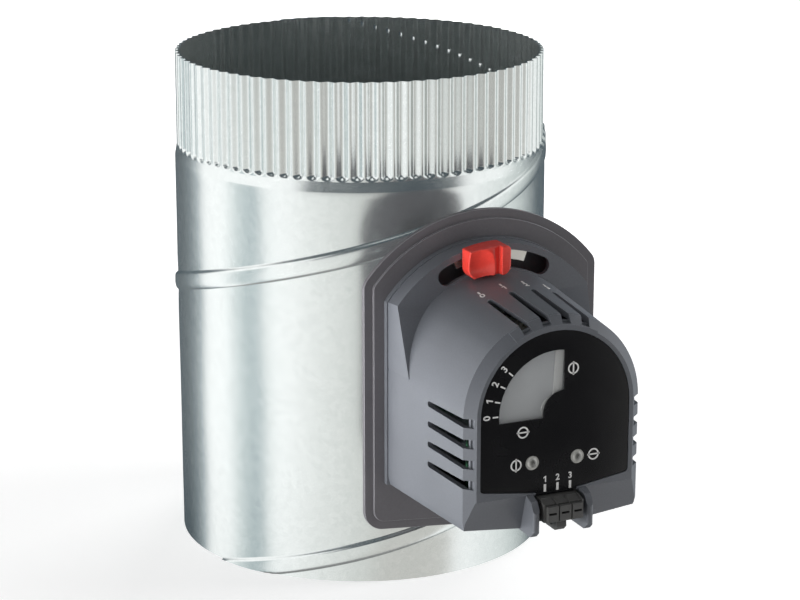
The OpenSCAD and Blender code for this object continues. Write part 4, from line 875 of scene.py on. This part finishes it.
# A black card before the actuator, round above and drawn down below, keeps glare off its front
card_x, card_y, card_z, card_r = 0.0225, -0.24, 0.085, 0.042
card_chin, card_drop = -0.01, 4.5
card_mat, tree, place = new_finish("black_card")
end_finish(tree, "ShaderNodeEmission", {"Color": to_linear("#17181a"), "Strength": 1.0})
card = studio_sheet("black_card", [(card_x + x, card_y,
                                    card_z + max(z, card_chin) * (1 if z > 0 else card_drop))
                                   for x, z in circle(card_r)], card_mat)
for sheet in (tent, roof, top_box, card):
    sheet.visible_camera = False
    sheet.visible_diffuse = False
    sheet.visible_shadow = False
    sheet.visible_transmission = False

# The room is white to the camera and through the window, and dimmer as light on the part
world = bpy.data.worlds.new("white_room")
bpy.context.scene.world = world
world.use_nodes = True
tree = world.node_tree
tree.nodes.clear()
path = add_node(tree, "ShaderNodeLightPath")
sight = add_node(tree, "ShaderNodeMath", {"operation": "MAXIMUM"},
                 {0: path.outputs["Is Camera Ray"], 1: path.outputs["Is Transmission Ray"]})
level = add_node(tree, "ShaderNodeMapRange", {},
                 {"Value": sight.outputs[0], "To Min": 0.27, "To Max": 1.0})
room = add_node(tree, "ShaderNodeBackground", {},
                {"Color": (1, 1, 1, 1), "Strength": level.outputs["Result"]})
add_node(tree, "ShaderNodeOutputWorld", {}, {"Surface": room.outputs["Background"]})


def soft_lamp(name, place, target, size, power):
    """A square softbox that faces its target, and that neither the camera nor gloss sees."""
    lamp = bpy.data.lights.new(name, "AREA")
    lamp.shape = "SQUARE"
    lamp.size = size
    lamp.energy = power
    holder = add_object(name, lamp)
    holder.location = place
    holder.rotation_euler = (Vector(target) - Vector(place)).to_track_quat("-Z", "Y").to_euler()
    holder.visible_camera = False
    holder.visible_glossy = False


damper = (0, -0.05, 0.1)
soft_lamp("left_softbox", (-1.3, -0.4, 0.2), damper, 0.5, 8)
soft_lamp("left_table_glow", (-0.34, -0.04, 0.004), (-0.34, -0.04, 1), 0.38, 4.3)
soft_lamp("right_softbox", (1.2, -0.3, 0.2), damper, 0.5, 12)
soft_lamp("back_softbox", (1.0, 0.9, 0.25), damper, 0.9, 16)

# A long lens, looking down a little from the actuator's left
camera_down, camera_bearing = 16.07, 66.07
camera = add_object("camera", bpy.data.cameras.new("camera"))
camera.data.lens = 113.0
camera.data.sensor_width = 36
camera.data.clip_start = 0.05
camera.location = camera_from
camera.rotation_euler = (math.radians(90 - camera_down), 0, math.radians(camera_bearing - 90))
bpy.context.scene.camera = camera
bpy.context.scene.view_settings.view_transform = "Standard"
